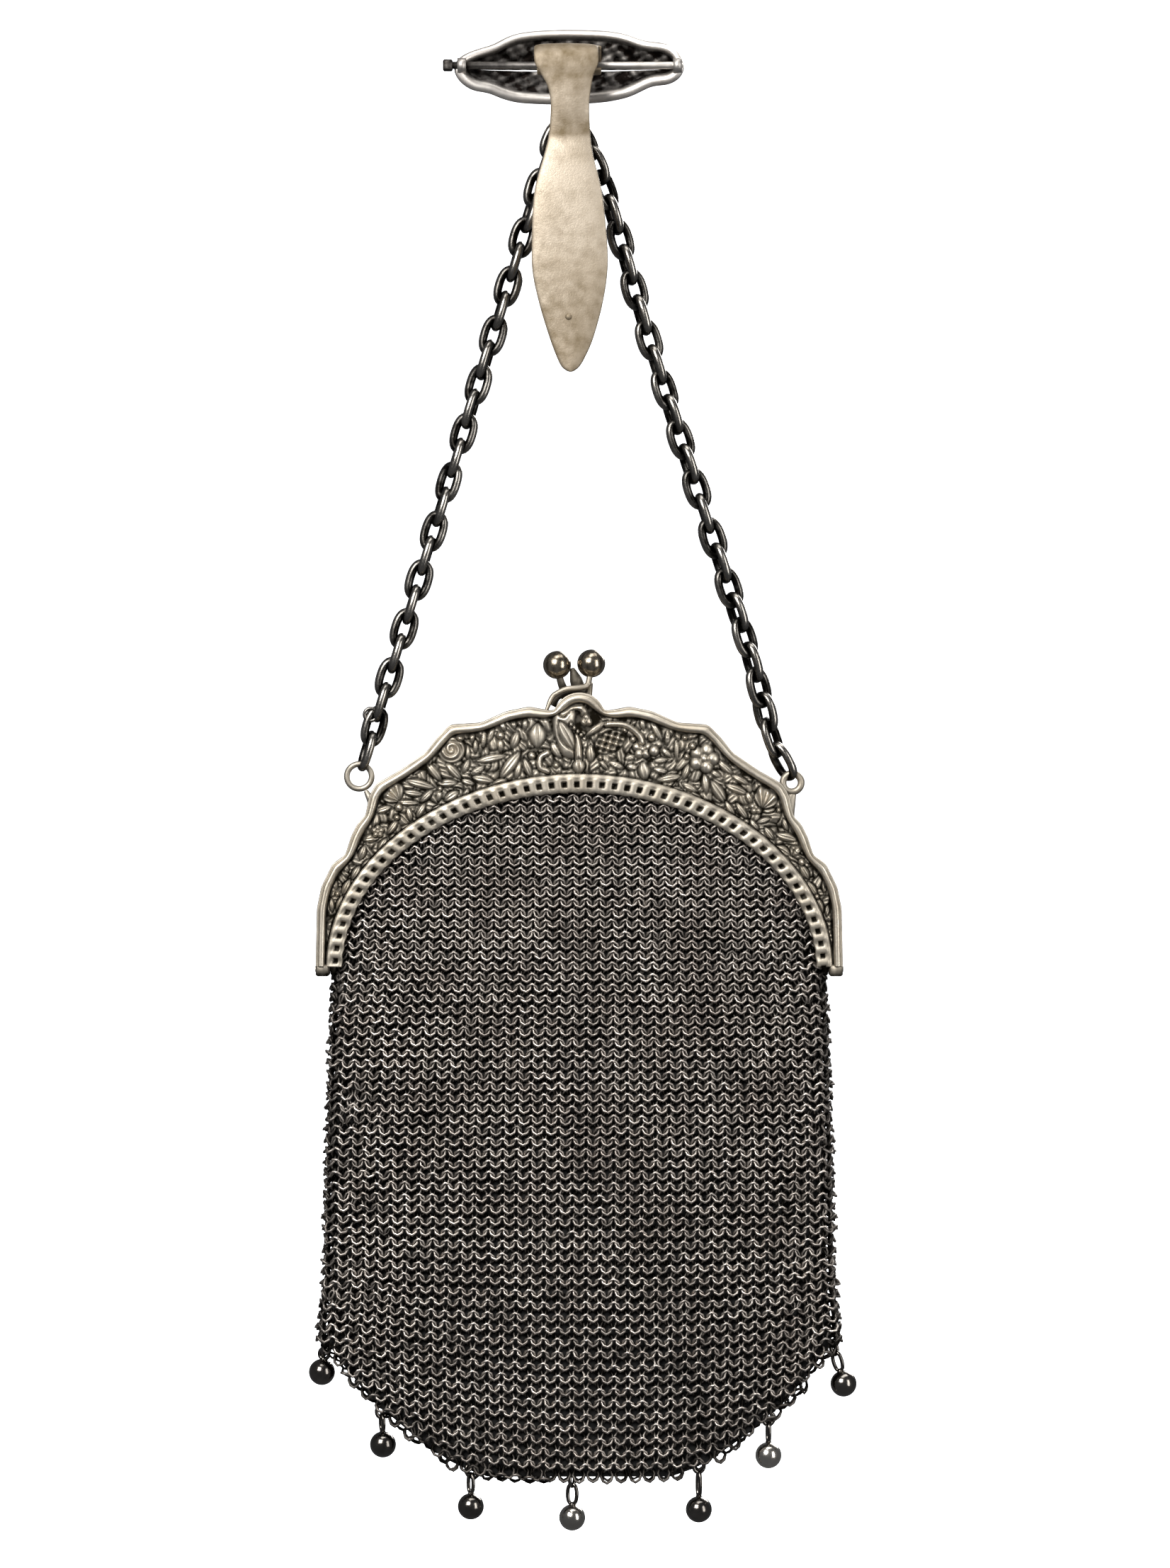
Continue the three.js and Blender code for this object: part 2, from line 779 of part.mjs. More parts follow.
// The tongue's centre line: a curl round the rod, then the table's stations
function tongueLine() {
  const curl = rodRadius + fit + tongueThickness / 2;
  const line = [];
  for (let turn = curlFrom; turn <= curlTo; turn += curlStep) {
    line.push({
      y: rodBack + curl * Math.cos(rad(turn)),
      z: -rodDown + curl * Math.sin(rad(turn)),
      half: tongueStations[0].width * tongueHalfWidth,
    });
  }
  for (const s of tongueStations) {
    line.push({
      y: -s.forward * tongueForward - s.flare * tongueFlare,
      z: -s.down * tongueDrop,
      half: s.width * tongueHalfWidth,
    });
  }
  return line;
}

function hookTongue() {
  const line = tongueLine();
  const rings = line.map((p, i) => {
    const before = line[Math.max(i - 1, 0)];
    const after = line[Math.min(i + 1, line.length - 1)];
    const along = new THREE.Vector2(after.y - before.y, after.z - before.z).normalize();
    const side = new THREE.Vector2(-along.y, along.x).multiplyScalar(tongueThickness / 2);
    const at = (x, share) => new THREE.Vector3(x, p.y + side.x * share, p.z + side.y * share);
    return [
      at(-p.half, tongueEdge),
      at(0, 1),
      at(p.half, tongueEdge),
      at(p.half, -tongueEdge),
      at(0, -1),
      at(-p.half, -tongueEdge),
    ];
  });
  const reach = rodBack + 2 * rodDown;
  const fork = box(
    [-forkHalfWidth, forkFront, -reach],
    [forkHalfWidth, reach, reach],
  );
  return solid(loft(rings)).subtract(fork);
}

// Rings and chain

const hangingCentre = rodCentre.clone();
hangingCentre.z += rodRadius + fit + ringWire - hangingRingRadius;
const gatherCentre = hangingCentre.clone();
gatherCentre.z += 2 * ringWire + seam - hangingRingRadius - gatherRingRadius;

function chainEnds(side) {
  const turn = rad(gatherTurn);
  const start = gatherCentre
    .clone()
    .add(new THREE.Vector3(side * Math.sin(turn), 0, -Math.cos(turn)).multiplyScalar(gatherRingRadius));
  const eye = eyeCentre(side).add(new THREE.Vector3(hangAside, rodBack, -hangDrop));
  const towards = new THREE.Vector3(start.x - eye.x, 0, start.z - eye.z).normalize();
  return [start, eye.addScaledVector(towards, eyeRadius)];
}

function chainRun(route) {
  const [start, end] = chainEnds(route.side);
  const bends = route.bends.map((b) =>
    new THREE.Vector3().lerpVectors(start, end, b.along).add(new THREE.Vector3(b.aside, 0, 0)),
  );
  const line = new THREE.CatmullRomCurve3([start, ...bends, end]);
  const length = line.getLength();
  const hook = ringWire + chainWire + seam / 2;
  const bite = 2 * chainWire - weld;
  const linkLength = (length + 2 * hook + (chainLinks - 1) * bite) / chainLinks;
  const pitch = linkLength - bite;
  const links = [];
  for (let i = 0; i < chainLinks; i++) {
    const share = (linkLength / 2 - hook + i * pitch) / length;
    const place = line.getPointAt(share);
    const along = line.getTangentAt(share);
    const swing = route.drift * Math.sin((Math.PI * i) / (chainLinks - 1));
    const roll = rad(90 + 90 * i + swing);
    const facing = new THREE.Vector3(0, -1, 0).projectOnPlane(along).normalize();
    facing.applyAxisAngle(along, roll);
    const wide = new THREE.Vector3().crossVectors(facing, along);
    const matrix = new THREE.Matrix4().makeBasis(along, wide, facing).setPosition(place);
    const link = ovalRing(chainLinkHalfWidth, chainWire, wireSides, linkLength / 2);
    links.push(solid(link.applyMatrix4(matrix)));
  }
  return joined(links);
}

// The whole object

const group = new THREE.Group();
const frameSilver = 0xb9b09a;
const chainSilver = 0x6f6a60;
const meshSilver = 0x5b5752;
const tongueSilver = 0xcdbfa6;
const ballSilver = 0x55504a;

const purse = new THREE.Group();
purse.position.set(hangAside, rodBack, -hangDrop);
purse.add(mesh('frame_front', frameFront(), frameSilver, 0.4));
purse.add(mesh('frame_back', frameBack(), frameSilver, 0.4));
purse.add(mesh('hinge_pin_left', hingePin(-1), frameSilver, 0.35));
purse.add(mesh('hinge_pin_right', hingePin(1), frameSilver, 0.35));
purse.add(mesh('mesh_bag', meshBag(drops.map(dropRoom)), meshSilver, 0.45));
drops.forEach((row, i) => purse.add(mesh(`drop_${i + 1}`, dropBall(row), ballSilver, 0.25)));
group.add(purse);

for (const route of chainRoutes) {
  group.add(mesh(`chain_${route.name}`, chainRun(route), chainSilver, 0.35));
}
const hangingRing = ring(hangingCentre, hangingRingRadius, ringWire, true);
const gatherRing = ring(gatherCentre, gatherRingRadius, ringWire, false);
group.add(mesh('hanging_ring', hangingRing, chainSilver, 0.35));
group.add(mesh('gather_ring', gatherRing, chainSilver, 0.35));
group.add(mesh('hook_rod', hookRod(), frameSilver, 0.35));
group.add(mesh('hook_plaque', hookPlaque(), frameSilver, 0.4));
group.add(mesh('hook_tongue', hookTongue(), tongueSilver, 0.5));

export default group;
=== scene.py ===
# %% [markdown]
# # A ring-mesh purse on a belt hook
#
# The purse is silver throughout, but no two parts of it look alike: a pressed frame full of leaves,
# a bag of small linked rings, a chain, polished balls and a plain tongue. This lesson makes each part
# from a formula worked out on whole arrays of points, and then gives all of them one aged silver.

import bpy
import numpy as np
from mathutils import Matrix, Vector


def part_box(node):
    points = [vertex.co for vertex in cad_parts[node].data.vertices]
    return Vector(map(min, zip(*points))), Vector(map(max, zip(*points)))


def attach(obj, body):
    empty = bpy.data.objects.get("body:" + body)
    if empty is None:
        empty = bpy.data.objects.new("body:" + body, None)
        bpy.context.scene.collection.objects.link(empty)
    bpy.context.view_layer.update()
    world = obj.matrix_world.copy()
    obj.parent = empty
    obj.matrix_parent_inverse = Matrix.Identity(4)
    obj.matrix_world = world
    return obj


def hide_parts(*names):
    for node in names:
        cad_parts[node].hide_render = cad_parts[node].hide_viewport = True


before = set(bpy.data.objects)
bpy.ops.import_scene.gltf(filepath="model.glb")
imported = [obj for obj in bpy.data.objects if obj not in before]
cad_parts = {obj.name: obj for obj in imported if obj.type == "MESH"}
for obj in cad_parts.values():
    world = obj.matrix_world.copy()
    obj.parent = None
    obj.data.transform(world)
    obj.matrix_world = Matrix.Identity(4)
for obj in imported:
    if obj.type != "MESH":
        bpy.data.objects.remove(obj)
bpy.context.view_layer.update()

# %% [markdown]
# Blender works in metres and a purse is made in millimetres. Every size below is in millimetres, and
# one factor turns it into metres when a mesh is made. The bag, its frame and its balls are measured
# from the middle of the hinge line, so that point is read from the two hinge pins.

# %% Units and the middle of the hinge line
MM = 0.001


def node_box(name):
    """Lowest and highest corner of a solid, in millimetres."""
    low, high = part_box(name)
    return np.array(low) / MM, np.array(high) / MM


pin_boxes = np.array([node_box("hinge_pin_left"), node_box("hinge_pin_right")])
hinge = np.array([pin_boxes[:, :, k].mean() for k in range(3)])
print("middle of the hinge line:", hinge.round(2))

# %% [markdown]
# A mesh is two lists: points, and faces that name their points. Filling them from arrays is quick even
# for thousands of faces. The volume tells which way the faces look: if it comes out negative, they
# look inwards, and each face is turned round. Every point also carries a number, from 0 where the
# silver is darkest to 1 where it is brightest, which the silver reads later. It stands for wear, and on
# several parts for painted shade and painted highlights as well.

# %% Helper: a mesh from arrays
def volume_of(points, faces):
    """A sixth of the sum, over the faces' triangles, of a . (b x c)."""
    total = 0.0
    for corners in faces:
        a = points[corners[:, 0]]
        for j in range(1, corners.shape[1] - 1):
            b, c = points[corners[:, j]], points[corners[:, j + 1]]
            total += np.einsum("ij,ij->", a, np.cross(b, c))
    return total / 6


def put_mesh(name, points, faces, wear_and_shading=0.6):
    """Points in millimetres and arrays of corner numbers, made one smooth object at the origin."""
    if volume_of(points, faces) < 0:
        faces = [f[:, ::-1] for f in faces]
    sizes = np.concatenate([np.full(len(f), f.shape[1]) for f in faces])
    corners = np.concatenate([f.ravel() for f in faces])
    mesh = bpy.data.meshes.new(name)
    mesh.vertices.add(len(points))
    mesh.vertices.foreach_set("co", (points * MM).astype(np.float32).ravel())
    mesh.loops.add(len(corners))
    mesh.loops.foreach_set("vertex_index", corners.astype(np.int32))
    mesh.polygons.add(len(sizes))
    mesh.polygons.foreach_set("loop_start", (np.cumsum(sizes) - sizes).astype(np.int32))
    mesh.polygons.foreach_set("use_smooth", np.ones(len(sizes), bool))
    mesh.update(calc_edges=True)
    # This number carries real wear, and on several parts painted shade and painted highlights too.
    values = np.broadcast_to(np.asarray(wear_and_shading, float), (len(points),))
    mesh.attributes.new("wear_and_shading", "FLOAT", "POINT").data.foreach_set(
        "value", values.astype(np.float32)
    )
    made = bpy.data.objects.new(name, mesh)
    bpy.context.scene.collection.objects.link(made)
    return made


# %% [markdown]
# Nearly every part here is a skin of rings: a row of cross-sections, each with the same number of
# points. One helper numbers the faces between them, and can close the two ends with a flat face each.

# %% Helper: faces of a skin, and a join of several skins
def skin_faces(rings, sides, closed=False):
    """Between ring i and i + 1, face j joins points j and j + 1; a closed skin joins its ends."""
    i = np.arange(rings if closed else rings - 1)[:, None]
    j = np.arange(sides)[None, :]
    near, far = i * sides, (i + 1) % rings * sides
    quads = np.stack([near + j, near + (j + 1) % sides, far + (j + 1) % sides, far + j], -1)
    faces = [quads.reshape(-1, 4)]
    if not closed:
        caps = np.array([np.arange(sides)[::-1], (rings - 1) * sides + np.arange(sides)])
        faces.append(caps)
    return faces


def skin(grid, closed=False):
    """A grid of rings, sides and three coordinates, as points and faces."""
    return grid.reshape(-1, 3), skin_faces(grid.shape[0], grid.shape[1], closed)


def joined(skins):
    """Several skins as one: each one's corner numbers start where the last one's points ended.
    A skin that would come out inwards is turned round first."""
    points, faces, start = [], [], 0
    for p, f in skins:
        turn = -1 if volume_of(p, f) < 0 else 1
        points.append(p)
        faces += [corners[:, ::turn] + start for corners in f]
        start += len(p)
    return np.concatenate(points), faces


# %% [markdown]
# Wire is a circle carried along a line. At each point of the line the circle stands across the line's
# direction, which is the difference between the neighbouring points. A ring of wire is the same with a
# line that closes on itself.

# %% Helper: wire along a line, and rings of wire
def unit(v):
    """Each vector over its own length."""
    return v / np.linalg.norm(v, axis=-1, keepdims=True)


def wire(line, radius, sides=12, across=(0, 1, 0), closed=False, flat=1.0):
    """point = line + radius * (cos a * side + flat * sin a * up), side = direction x across."""
    line = np.asarray(line, float)
    if closed:
        ahead = np.roll(line, -1, 0) - np.roll(line, 1, 0)
    else:
        ahead = np.gradient(line, axis=0)
    ahead = unit(ahead)
    side = unit(np.cross(ahead, across))
    up = np.cross(side, ahead)
    a = np.linspace(0, 2 * np.pi, sides, endpoint=False)[None, :, None]
    size = np.broadcast_to(np.asarray(radius, float), (len(line),))[:, None, None]
    grid = line[:, None] + size * (np.cos(a) * side[:, None] + flat * np.sin(a) * up[:, None])
    return skin(grid, closed)


def oval(long, wide, power=1.0, count=32):
    """A closed line in X and Z: x = wide * cos, z = long * sin, each to a power that squares it off."""
    a = np.linspace(0, 2 * np.pi, count, endpoint=False)
    bend = lambda v: np.sign(v) * np.abs(v) ** power
    return np.stack([wide * bend(np.cos(a)), 0 * a, long * bend(np.sin(a))], -1)


def smooth_line(places, count=60):
    """A Catmull-Rom line through the places, with its end places doubled."""
    p = np.asarray(places, float)
    p = np.concatenate([2 * p[:1] - p[1:2], p, 2 * p[-1:] - p[-2:-1]])
    t = np.linspace(0, len(p) - 3 - 1e-9, count)
    k = t.astype(int)
    t = (t - k)[:, None]
    a, b, c, d = (p[k + n] for n in range(4))
    return 0.5 * (2 * b + (c - a) * t + (2 * a - 5 * b + 4 * c - d) * t**2
                  + (3 * b - a - 3 * c + d) * t**3)


# %% [markdown]
# ## Camera and room
#
# The camera looks straight at the hanging purse from about a metre, through a long lens, so the purse
# shows almost without perspective. The standard view keeps white white and dark dark. The room is one
# pale round sheet that curves from the floor into the wall, wide enough to walk round the purse in. Only
# the camera sees it: silver that mirrored so much white would lose its dark edges.

# %% Camera
picture_middle = np.array([3.3, 0.0, -152.6])
picture_height = 326.9
camera_distance = 1090.0
camera_rise = 1.5

camera_data = bpy.data.cameras.new("camera")
camera_data.sensor_width = 36.0
camera_data.lens = camera_data.sensor_width * camera_distance / picture_height
camera_data.clip_start, camera_data.clip_end = 0.05, 20.0
camera = bpy.data.objects.new("camera", camera_data)
rise = np.radians(camera_rise)
camera.location = (picture_middle + camera_distance * np.array([0, -np.cos(rise), np.sin(rise)])) * MM
camera.rotation_euler = (np.pi / 2 - rise, 0, 0)
bpy.context.scene.collection.objects.link(camera)
bpy.context.scene.camera = camera
bpy.context.scene.view_settings.view_transform = "Standard"
print("lens:", round(camera_data.lens, 1), "mm")

# %% [markdown]
# The room's sheet is one profile, from the middle of the floor outwards and up, turned about the upright
# axis. Its floor lies a little below the lowest ball.

# %% Room: a round floor and wall in one sheet
floor, room_sides = -322, 64
room_profile = smooth_line(  # distance from the middle, nought, height
    [(2, 0, floor), (1200, 0, floor), (1450, 0, -300), (1560, 0, -200), (1600, 0, 100), (1600, 0, 2400)], 40
)
room_turn = np.linspace(0, 2 * np.pi, room_sides, endpoint=False)
room_grid = np.stack([room_profile[:, :1] * np.cos(room_turn), room_profile[:, :1] * np.sin(room_turn),
                      np.repeat(room_profile[:, 2:], room_sides, 1)], -1)
room = put_mesh("room", *skin(room_grid))
room.visible_glossy = room.visible_diffuse = room.visible_shadow = False
print("room points:", len(room.data.vertices))

# %% [markdown]
# ## Aged and shaded silver
#
# Old silver darkens where nothing rubs it and stays bright on every crest. One node group makes the
# silver for all the parts. It reads a number on each point, blurs its edge with noise, and mixes a dark
# colour with a bright one. That number stands for wear, and on several parts for painted shade and
# painted highlights too. A second, larger noise lays a warm stain. Roughness goes with the dark, and a
# fine noise gives a height for the bump. Each material places the group with its own colours and keeps
# its own shader.

# %% Node group: aged and shaded silver
aged_and_shaded = bpy.data.node_groups.new("aged_and_shaded_silver", "ShaderNodeTree")
for socket, kind, value in [
    ("Dark", "NodeSocketColor", (0.03, 0.025, 0.02, 1)),
    ("Bright", "NodeSocketColor", (0.7, 0.65, 0.55, 1)),
    ("Stain", "NodeSocketColor", (0.4, 0.33, 0.22, 1)),
    ("Stain amount", "NodeSocketFloat", 0.3),
    ("Edge blur", "NodeSocketFloat", 0.3),
    ("Rough dark", "NodeSocketFloat", 0.6),
    ("Rough bright", "NodeSocketFloat", 0.3),
]:
    made_socket = aged_and_shaded.interface.new_socket(socket, in_out="INPUT", socket_type=kind)
    made_socket.default_value = value
for socket, kind in [
    ("Color", "NodeSocketColor"), ("Roughness", "NodeSocketFloat"), ("Height", "NodeSocketFloat"),
]:
    aged_and_shaded.interface.new_socket(socket, in_out="OUTPUT", socket_type=kind)


def add_node(tree, kind, **settings):
    """A node of a kind, with its settings."""
    node = tree.nodes.new(kind)
    for key, value in settings.items():
        setattr(node, key, value)
    return node


def maths(tree, operation, a, b, clamp=False):
    """A Math node: a and b are sockets or numbers."""
    node = add_node(tree, "ShaderNodeMath", operation=operation, use_clamp=clamp)
    for place, value in enumerate((a, b)):
        if isinstance(value, (int, float)):
            node.inputs[place].default_value = value
        else:
            tree.links.new(value, node.inputs[place])
    return node.outputs[0]


def noise(tree, scale, detail=3.0):
    """Noise on Object coordinates: scale counts its lumps along a metre."""
    place = add_node(tree, "ShaderNodeTexCoord")
    node = add_node(tree, "ShaderNodeTexNoise")
    node.inputs["Scale"].default_value = scale
    node.inputs["Detail"].default_value = detail
    tree.links.new(place.outputs["Object"], node.inputs["Vector"])
    return node.outputs["Fac"]


def mix_colour(tree, share, first, second):
    """The first colour at share 0, the second at 1."""
    node = add_node(tree, "ShaderNodeMix", data_type="RGBA")
    tree.links.new(share, node.inputs["Factor"])
    tree.links.new(first, node.inputs["A"])
    tree.links.new(second, node.inputs["B"])
    return node.outputs["Result"]


lump, patch, grain = 420.0, 95.0, 2600.0  # lumps along a metre: worn edges, stains, fine grain
given = add_node(aged_and_shaded, "NodeGroupInput")
shown = add_node(aged_and_shaded, "NodeGroupOutput")
wear_and_shading = add_node(aged_and_shaded, "ShaderNodeAttribute", attribute_name="wear_and_shading").outputs["Fac"]
blur = maths(aged_and_shaded, "MULTIPLY", maths(aged_and_shaded, "SUBTRACT", noise(aged_and_shaded, lump), 0.5), given.outputs["Edge blur"])
brightness_share = maths(aged_and_shaded, "ADD", wear_and_shading, maths(aged_and_shaded, "MULTIPLY", blur, 2.0), clamp=True)
silver = mix_colour(aged_and_shaded, brightness_share, given.outputs["Dark"], given.outputs["Bright"])
patches = maths(aged_and_shaded, "MULTIPLY", maths(aged_and_shaded, "SUBTRACT", noise(aged_and_shaded, patch), 0.42), 4.0, clamp=True)
stained = maths(aged_and_shaded, "MULTIPLY", maths(aged_and_shaded, "MULTIPLY", patches, given.outputs["Stain amount"]), brightness_share)
aged_and_shaded.links.new(mix_colour(aged_and_shaded, stained, silver, given.outputs["Stain"]), shown.inputs["Color"])
gap = maths(aged_and_shaded, "SUBTRACT", given.outputs["Rough bright"], given.outputs["Rough dark"])
rough = maths(aged_and_shaded, "ADD", given.outputs["Rough dark"], maths(aged_and_shaded, "MULTIPLY", gap, brightness_share))
fine = noise(aged_and_shaded, grain, 2.0)
uneven = maths(aged_and_shaded, "MULTIPLY", maths(aged_and_shaded, "SUBTRACT", fine, 0.5), 0.25)
aged_and_shaded.links.new(maths(aged_and_shaded, "ADD", rough, uneven, clamp=True), shown.inputs["Roughness"])
aged_and_shaded.links.new(fine, shown.inputs["Height"])
print("group nodes:", len(aged_and_shaded.nodes))


# %% [markdown]
# Each part then gets a silver of its own: two colours, a stain and a roughness handed to the one group.

# %% Helper: a silver of its own
def make_silver(name, dark, bright, stain=(0.30, 0.24, 0.16), stain_amount=0.25, edge_blur=0.3,
                rough_dark=0.6, rough_bright=0.3, bump=0.15, metal=1.0):
    """A material whose shader takes colour, roughness and height from the group."""
    made = bpy.data.materials.new(name)
    made.use_nodes = True
    tree = made.node_tree
    shader = tree.nodes["Principled BSDF"]
    shader.inputs["Metallic"].default_value = metal
    placed = add_node(tree, "ShaderNodeGroup", node_tree=aged_and_shaded)
    for socket, value in [
        ("Dark", (*dark, 1)), ("Bright", (*bright, 1)), ("Stain", (*stain, 1)),
        ("Stain amount", stain_amount), ("Edge blur", edge_blur),
        ("Rough dark", rough_dark), ("Rough bright", rough_bright),
    ]:
        placed.inputs[socket].default_value = value
    tree.links.new(placed.outputs["Color"], shader.inputs["Base Color"])
    tree.links.new(placed.outputs["Roughness"], shader.inputs["Roughness"])
    relief = add_node(tree, "ShaderNodeBump")
    relief.inputs["Strength"].default_value = bump
    relief.inputs["Distance"].default_value = 0.00008
    tree.links.new(placed.outputs["Height"], relief.inputs["Height"])
    tree.links.new(relief.outputs["Normal"], shader.inputs["Normal"])
    return made


# %% [markdown]
# Eight finishes come from the one group. The frame is warm with nearly black recesses, the mesh is dark
# with painted shade between its rings and painted highlights on their crests, the chain is dark with
# lighter outer edges, the balls are polished, and the tongue is plain, matt and beige.

# %% The silvers of this purse
frame_silver = make_silver("frame_silver", (0.010, 0.008, 0.005), (0.70, 0.63, 0.52),
                           stain=(0.34, 0.28, 0.20), stain_amount=0.6, edge_blur=0.3,
                           rough_dark=0.7, rough_bright=0.38)
mesh_silver = make_silver("mesh_silver", (0.008, 0.007, 0.006), (0.60, 0.54, 0.48),
                          stain=(0.12, 0.09, 0.075), stain_amount=0.6, rough_dark=0.6, rough_bright=0.4)
chain_silver = make_silver("chain_silver", (0.008, 0.007, 0.006), (0.60, 0.56, 0.50),
                           stain=(0.08, 0.07, 0.06), stain_amount=0.6, rough_dark=0.3, rough_bright=0.2)
ball_silver = make_silver("ball_silver", (0.07, 0.062, 0.055), (0.66, 0.62, 0.55),
                          stain_amount=0.15, edge_blur=0.15, rough_dark=0.16, rough_bright=0.2, bump=0.05)
clasp_silver = make_silver("clasp_silver", (0.05, 0.038, 0.026), (0.50, 0.43, 0.33), stain_amount=0.3,
                           edge_blur=0.5, rough_dark=0.3, rough_bright=0.16, bump=0.08)
plaque_silver = make_silver("plaque_silver", (0.008, 0.006, 0.005), (0.80, 0.75, 0.69),
                            stain=(0.30, 0.25, 0.22), stain_amount=0.4, rough_dark=0.5, rough_bright=0.5)
tongue_silver = make_silver("tongue_silver", (0.145, 0.105, 0.055), (0.41, 0.345, 0.265),
                            stain=(0.25, 0.195, 0.125), stain_amount=0.5, edge_blur=0.6,
                            rough_dark=0.6, rough_bright=0.5, bump=0.5, metal=0.5)
# A near-black matt finish for the sheet of painted shade inside the bag.
painted_shade_dark = make_silver("painted_shade_dark", (0.003, 0.003, 0.003), (0.008, 0.007, 0.006),
                          stain_amount=0.1, rough_dark=0.9, rough_bright=0.8, metal=0.0)


def finish_piece(piece, material, slot, body, *nodes):
    """Gives a piece its silver and its body, and hides the solids that it stands for. The slot is not used.
    """
    piece.data.materials.clear()
    piece.data.materials.append(material)
    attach(piece, body)
    if nodes:
        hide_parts(*nodes)
    print(piece.name, "faces:", len(piece.data.polygons))


# %% [markdown]
# The room is a plain matt white that glows a little, so that it stays white behind the purse.

# %% Pale room
room_pale = bpy.data.materials.new("room_pale")
room_pale.use_nodes = True
pale_shader = room_pale.node_tree.nodes["Principled BSDF"]
pale_shader.inputs["Roughness"].default_value = 0.9
pale_shader.inputs["Emission Strength"].default_value = 1.15
pale_shader.inputs["Emission Color"].default_value = (1, 1, 1, 1)
pale_cloud = add_node(room_pale.node_tree, "ShaderNodeValToRGB")
pale_cloud.color_ramp.elements[0].color = (0.88, 0.88, 0.87, 1)
pale_cloud.color_ramp.elements[1].color = (0.94, 0.94, 0.93, 1)
room_pale.node_tree.links.new(noise(room_pale.node_tree, 1.5), pale_cloud.inputs["Fac"])
room_pale.node_tree.links.new(pale_cloud.outputs["Color"], pale_shader.inputs["Base Color"])
room.data.materials.append(room_pale)

# %% [markdown]
# ## The frame
#
# The frame's two halves are pressed from sheet. Seen from the front there are four curves: the arch's
# inner edge, the outer edge of its pierced band, the inner edge of the rim and the outline. The half is
# a skin whose sections run across those four curves and back behind them. First come the curves.

# %% Curves of the frame
frame_half_width, frame_rise = 55.0, 58.0
arch_half_width, arch_rise = 50.0, 37.6
band_width, rim_width = 3.0, 1.9
dome_radius, dome_start = 5.5, 18.0

outline_half = np.array([  # across and up, as shares of the half width and the rise
    (1.0, 0.014), (0.995, 0.224), (0.978, 0.302), (0.936, 0.383), (0.888, 0.415), (0.865, 0.483),
    (0.842, 0.526), (0.811, 0.557), (0.796, 0.629), (0.769, 0.672), (0.685, 0.717), (0.582, 0.784),
    (0.542, 0.833), (0.491, 0.883), (0.376, 0.89), (0.28, 0.931), (0.191, 0.948), (0.111, 0.934),
]) * (frame_half_width, frame_rise)


def along_line(line):
    """Length along a line up to each of its points."""
    steps = np.linalg.norm(np.diff(line, axis=0), axis=1)
    return np.concatenate([[0], np.cumsum(steps)])


def resample(line, count):
    """The same line with evenly spaced points."""
    length = along_line(line)
    want = np.linspace(0, length[-1], count)
    return np.stack([np.interp(want, length, line[:, k]) for k in range(line.shape[1])], -1)


def soften(line, reach, count):
    """Each point becomes the mean of its neighbours, weighted by a bell of that reach in points.
    The line is first carried on past its ends, so the ends stay where they are."""
    pad = 3 * reach
    longer = np.concatenate([2 * line[:1] - line[pad:0:-1], line, 2 * line[-1:] - line[-2:-pad - 2:-1]])
    bell = np.exp(-0.5 * (np.arange(-pad, pad + 1) / reach) ** 2)
    bell /= bell.sum()
    return np.stack([np.convolve(longer[:, k], bell, "valid") for k in range(line.shape[1])], -1)[:count]


def frame_outline(count):
    """Left foot, over the dome, to the right foot, evenly spaced, corners softened by half a millimetre."""
    turn = np.radians(np.linspace(180 - dome_start, dome_start, 24))
    dome = np.stack([dome_radius * np.cos(turn), frame_rise - dome_radius + dome_radius * np.sin(turn)], -1)
    left = outline_half * (-1, 1)
    dense = resample(np.concatenate([left, dome, outline_half[::-1]]), 2400)
    return resample(soften(dense, 6, 2400), count)


def inset(line, distance, reach=8):
    """Each point moved to the right of the line's direction, which is inwards here, then softened."""
    ahead = unit(np.gradient(line, axis=0))
    inwards = np.stack([ahead[:, 1], -ahead[:, 0]], -1)
    return soften(line + inwards * distance, reach, len(line))


def arch_at(turn, grown):
    """The half ellipse at a turn from the top: 1 / length(sin / a, cos / b) from the middle."""
    reach = 1 / np.hypot(np.sin(turn) / (arch_half_width + grown), np.cos(turn) / (arch_rise + grown))
    return np.stack([reach * np.sin(turn), reach * np.cos(turn)], -1)


print("outline length:", along_line(frame_outline(900))[-1].round(1), "mm")

# %% [markdown]
# Between the band and the rim grows the relief: a bird under the dome, flowers, and leaves in every
# direction. Each motif is a height over a flat shape. It also clears a narrow dark moat round itself, as
# a chaser's punch does, so that the next motif stands apart from the last. What is left between them is
# a carpet of small leaves: a point belongs to the leaf that is nearest when distances along a leaf count
# less than those across it, and the carpet sinks where two leaves are equally near.

# %% Motifs of the relief: each returns how far inside its edge a point is, and its height
def leaf_motif(x, z, at, turn, long, wide):
    """Inside where |t| < 1 - s * s, with s along and t across. A groove runs down its middle."""
    a = np.radians(turn)
    s = ((x - at[0]) * np.sin(a) + (z - at[1]) * np.cos(a)) / (long / 2)
    t = ((x - at[0]) * np.cos(a) - (z - at[1]) * np.sin(a)) / (wide / 2)
    inside = 1 - s * s - np.abs(t)
    vein = 1 - 0.45 * np.exp(-((t / 0.16) ** 2))
    return inside * wide / 2, np.clip(inside, 0, 1) ** 0.45 * vein


def flower_motif(x, z, at, radius, petals, turn=0.0):
    """Inside where the distance is under 0.8 + 0.2 * |cos(n * angle / 2)| radii, with a round eye."""
    r = np.hypot(x - at[0], z - at[1]) / radius
    angle = np.arctan2(x - at[0], z - at[1]) - np.radians(turn)
    lobe = np.abs(np.cos(petals * angle / 2))
    edge = 0.78 + 0.22 * lobe
    petal = np.clip(1 - (r / edge) ** 4, 0, 1) ** 0.5 * (0.35 + 0.65 * lobe**0.6) * np.clip(r * 2.2, 0.2, 1)
    eye = np.clip(1 - (r / 0.27) ** 2, 0, 1) ** 0.5
    return (edge - r) * radius, np.maximum(petal, eye)


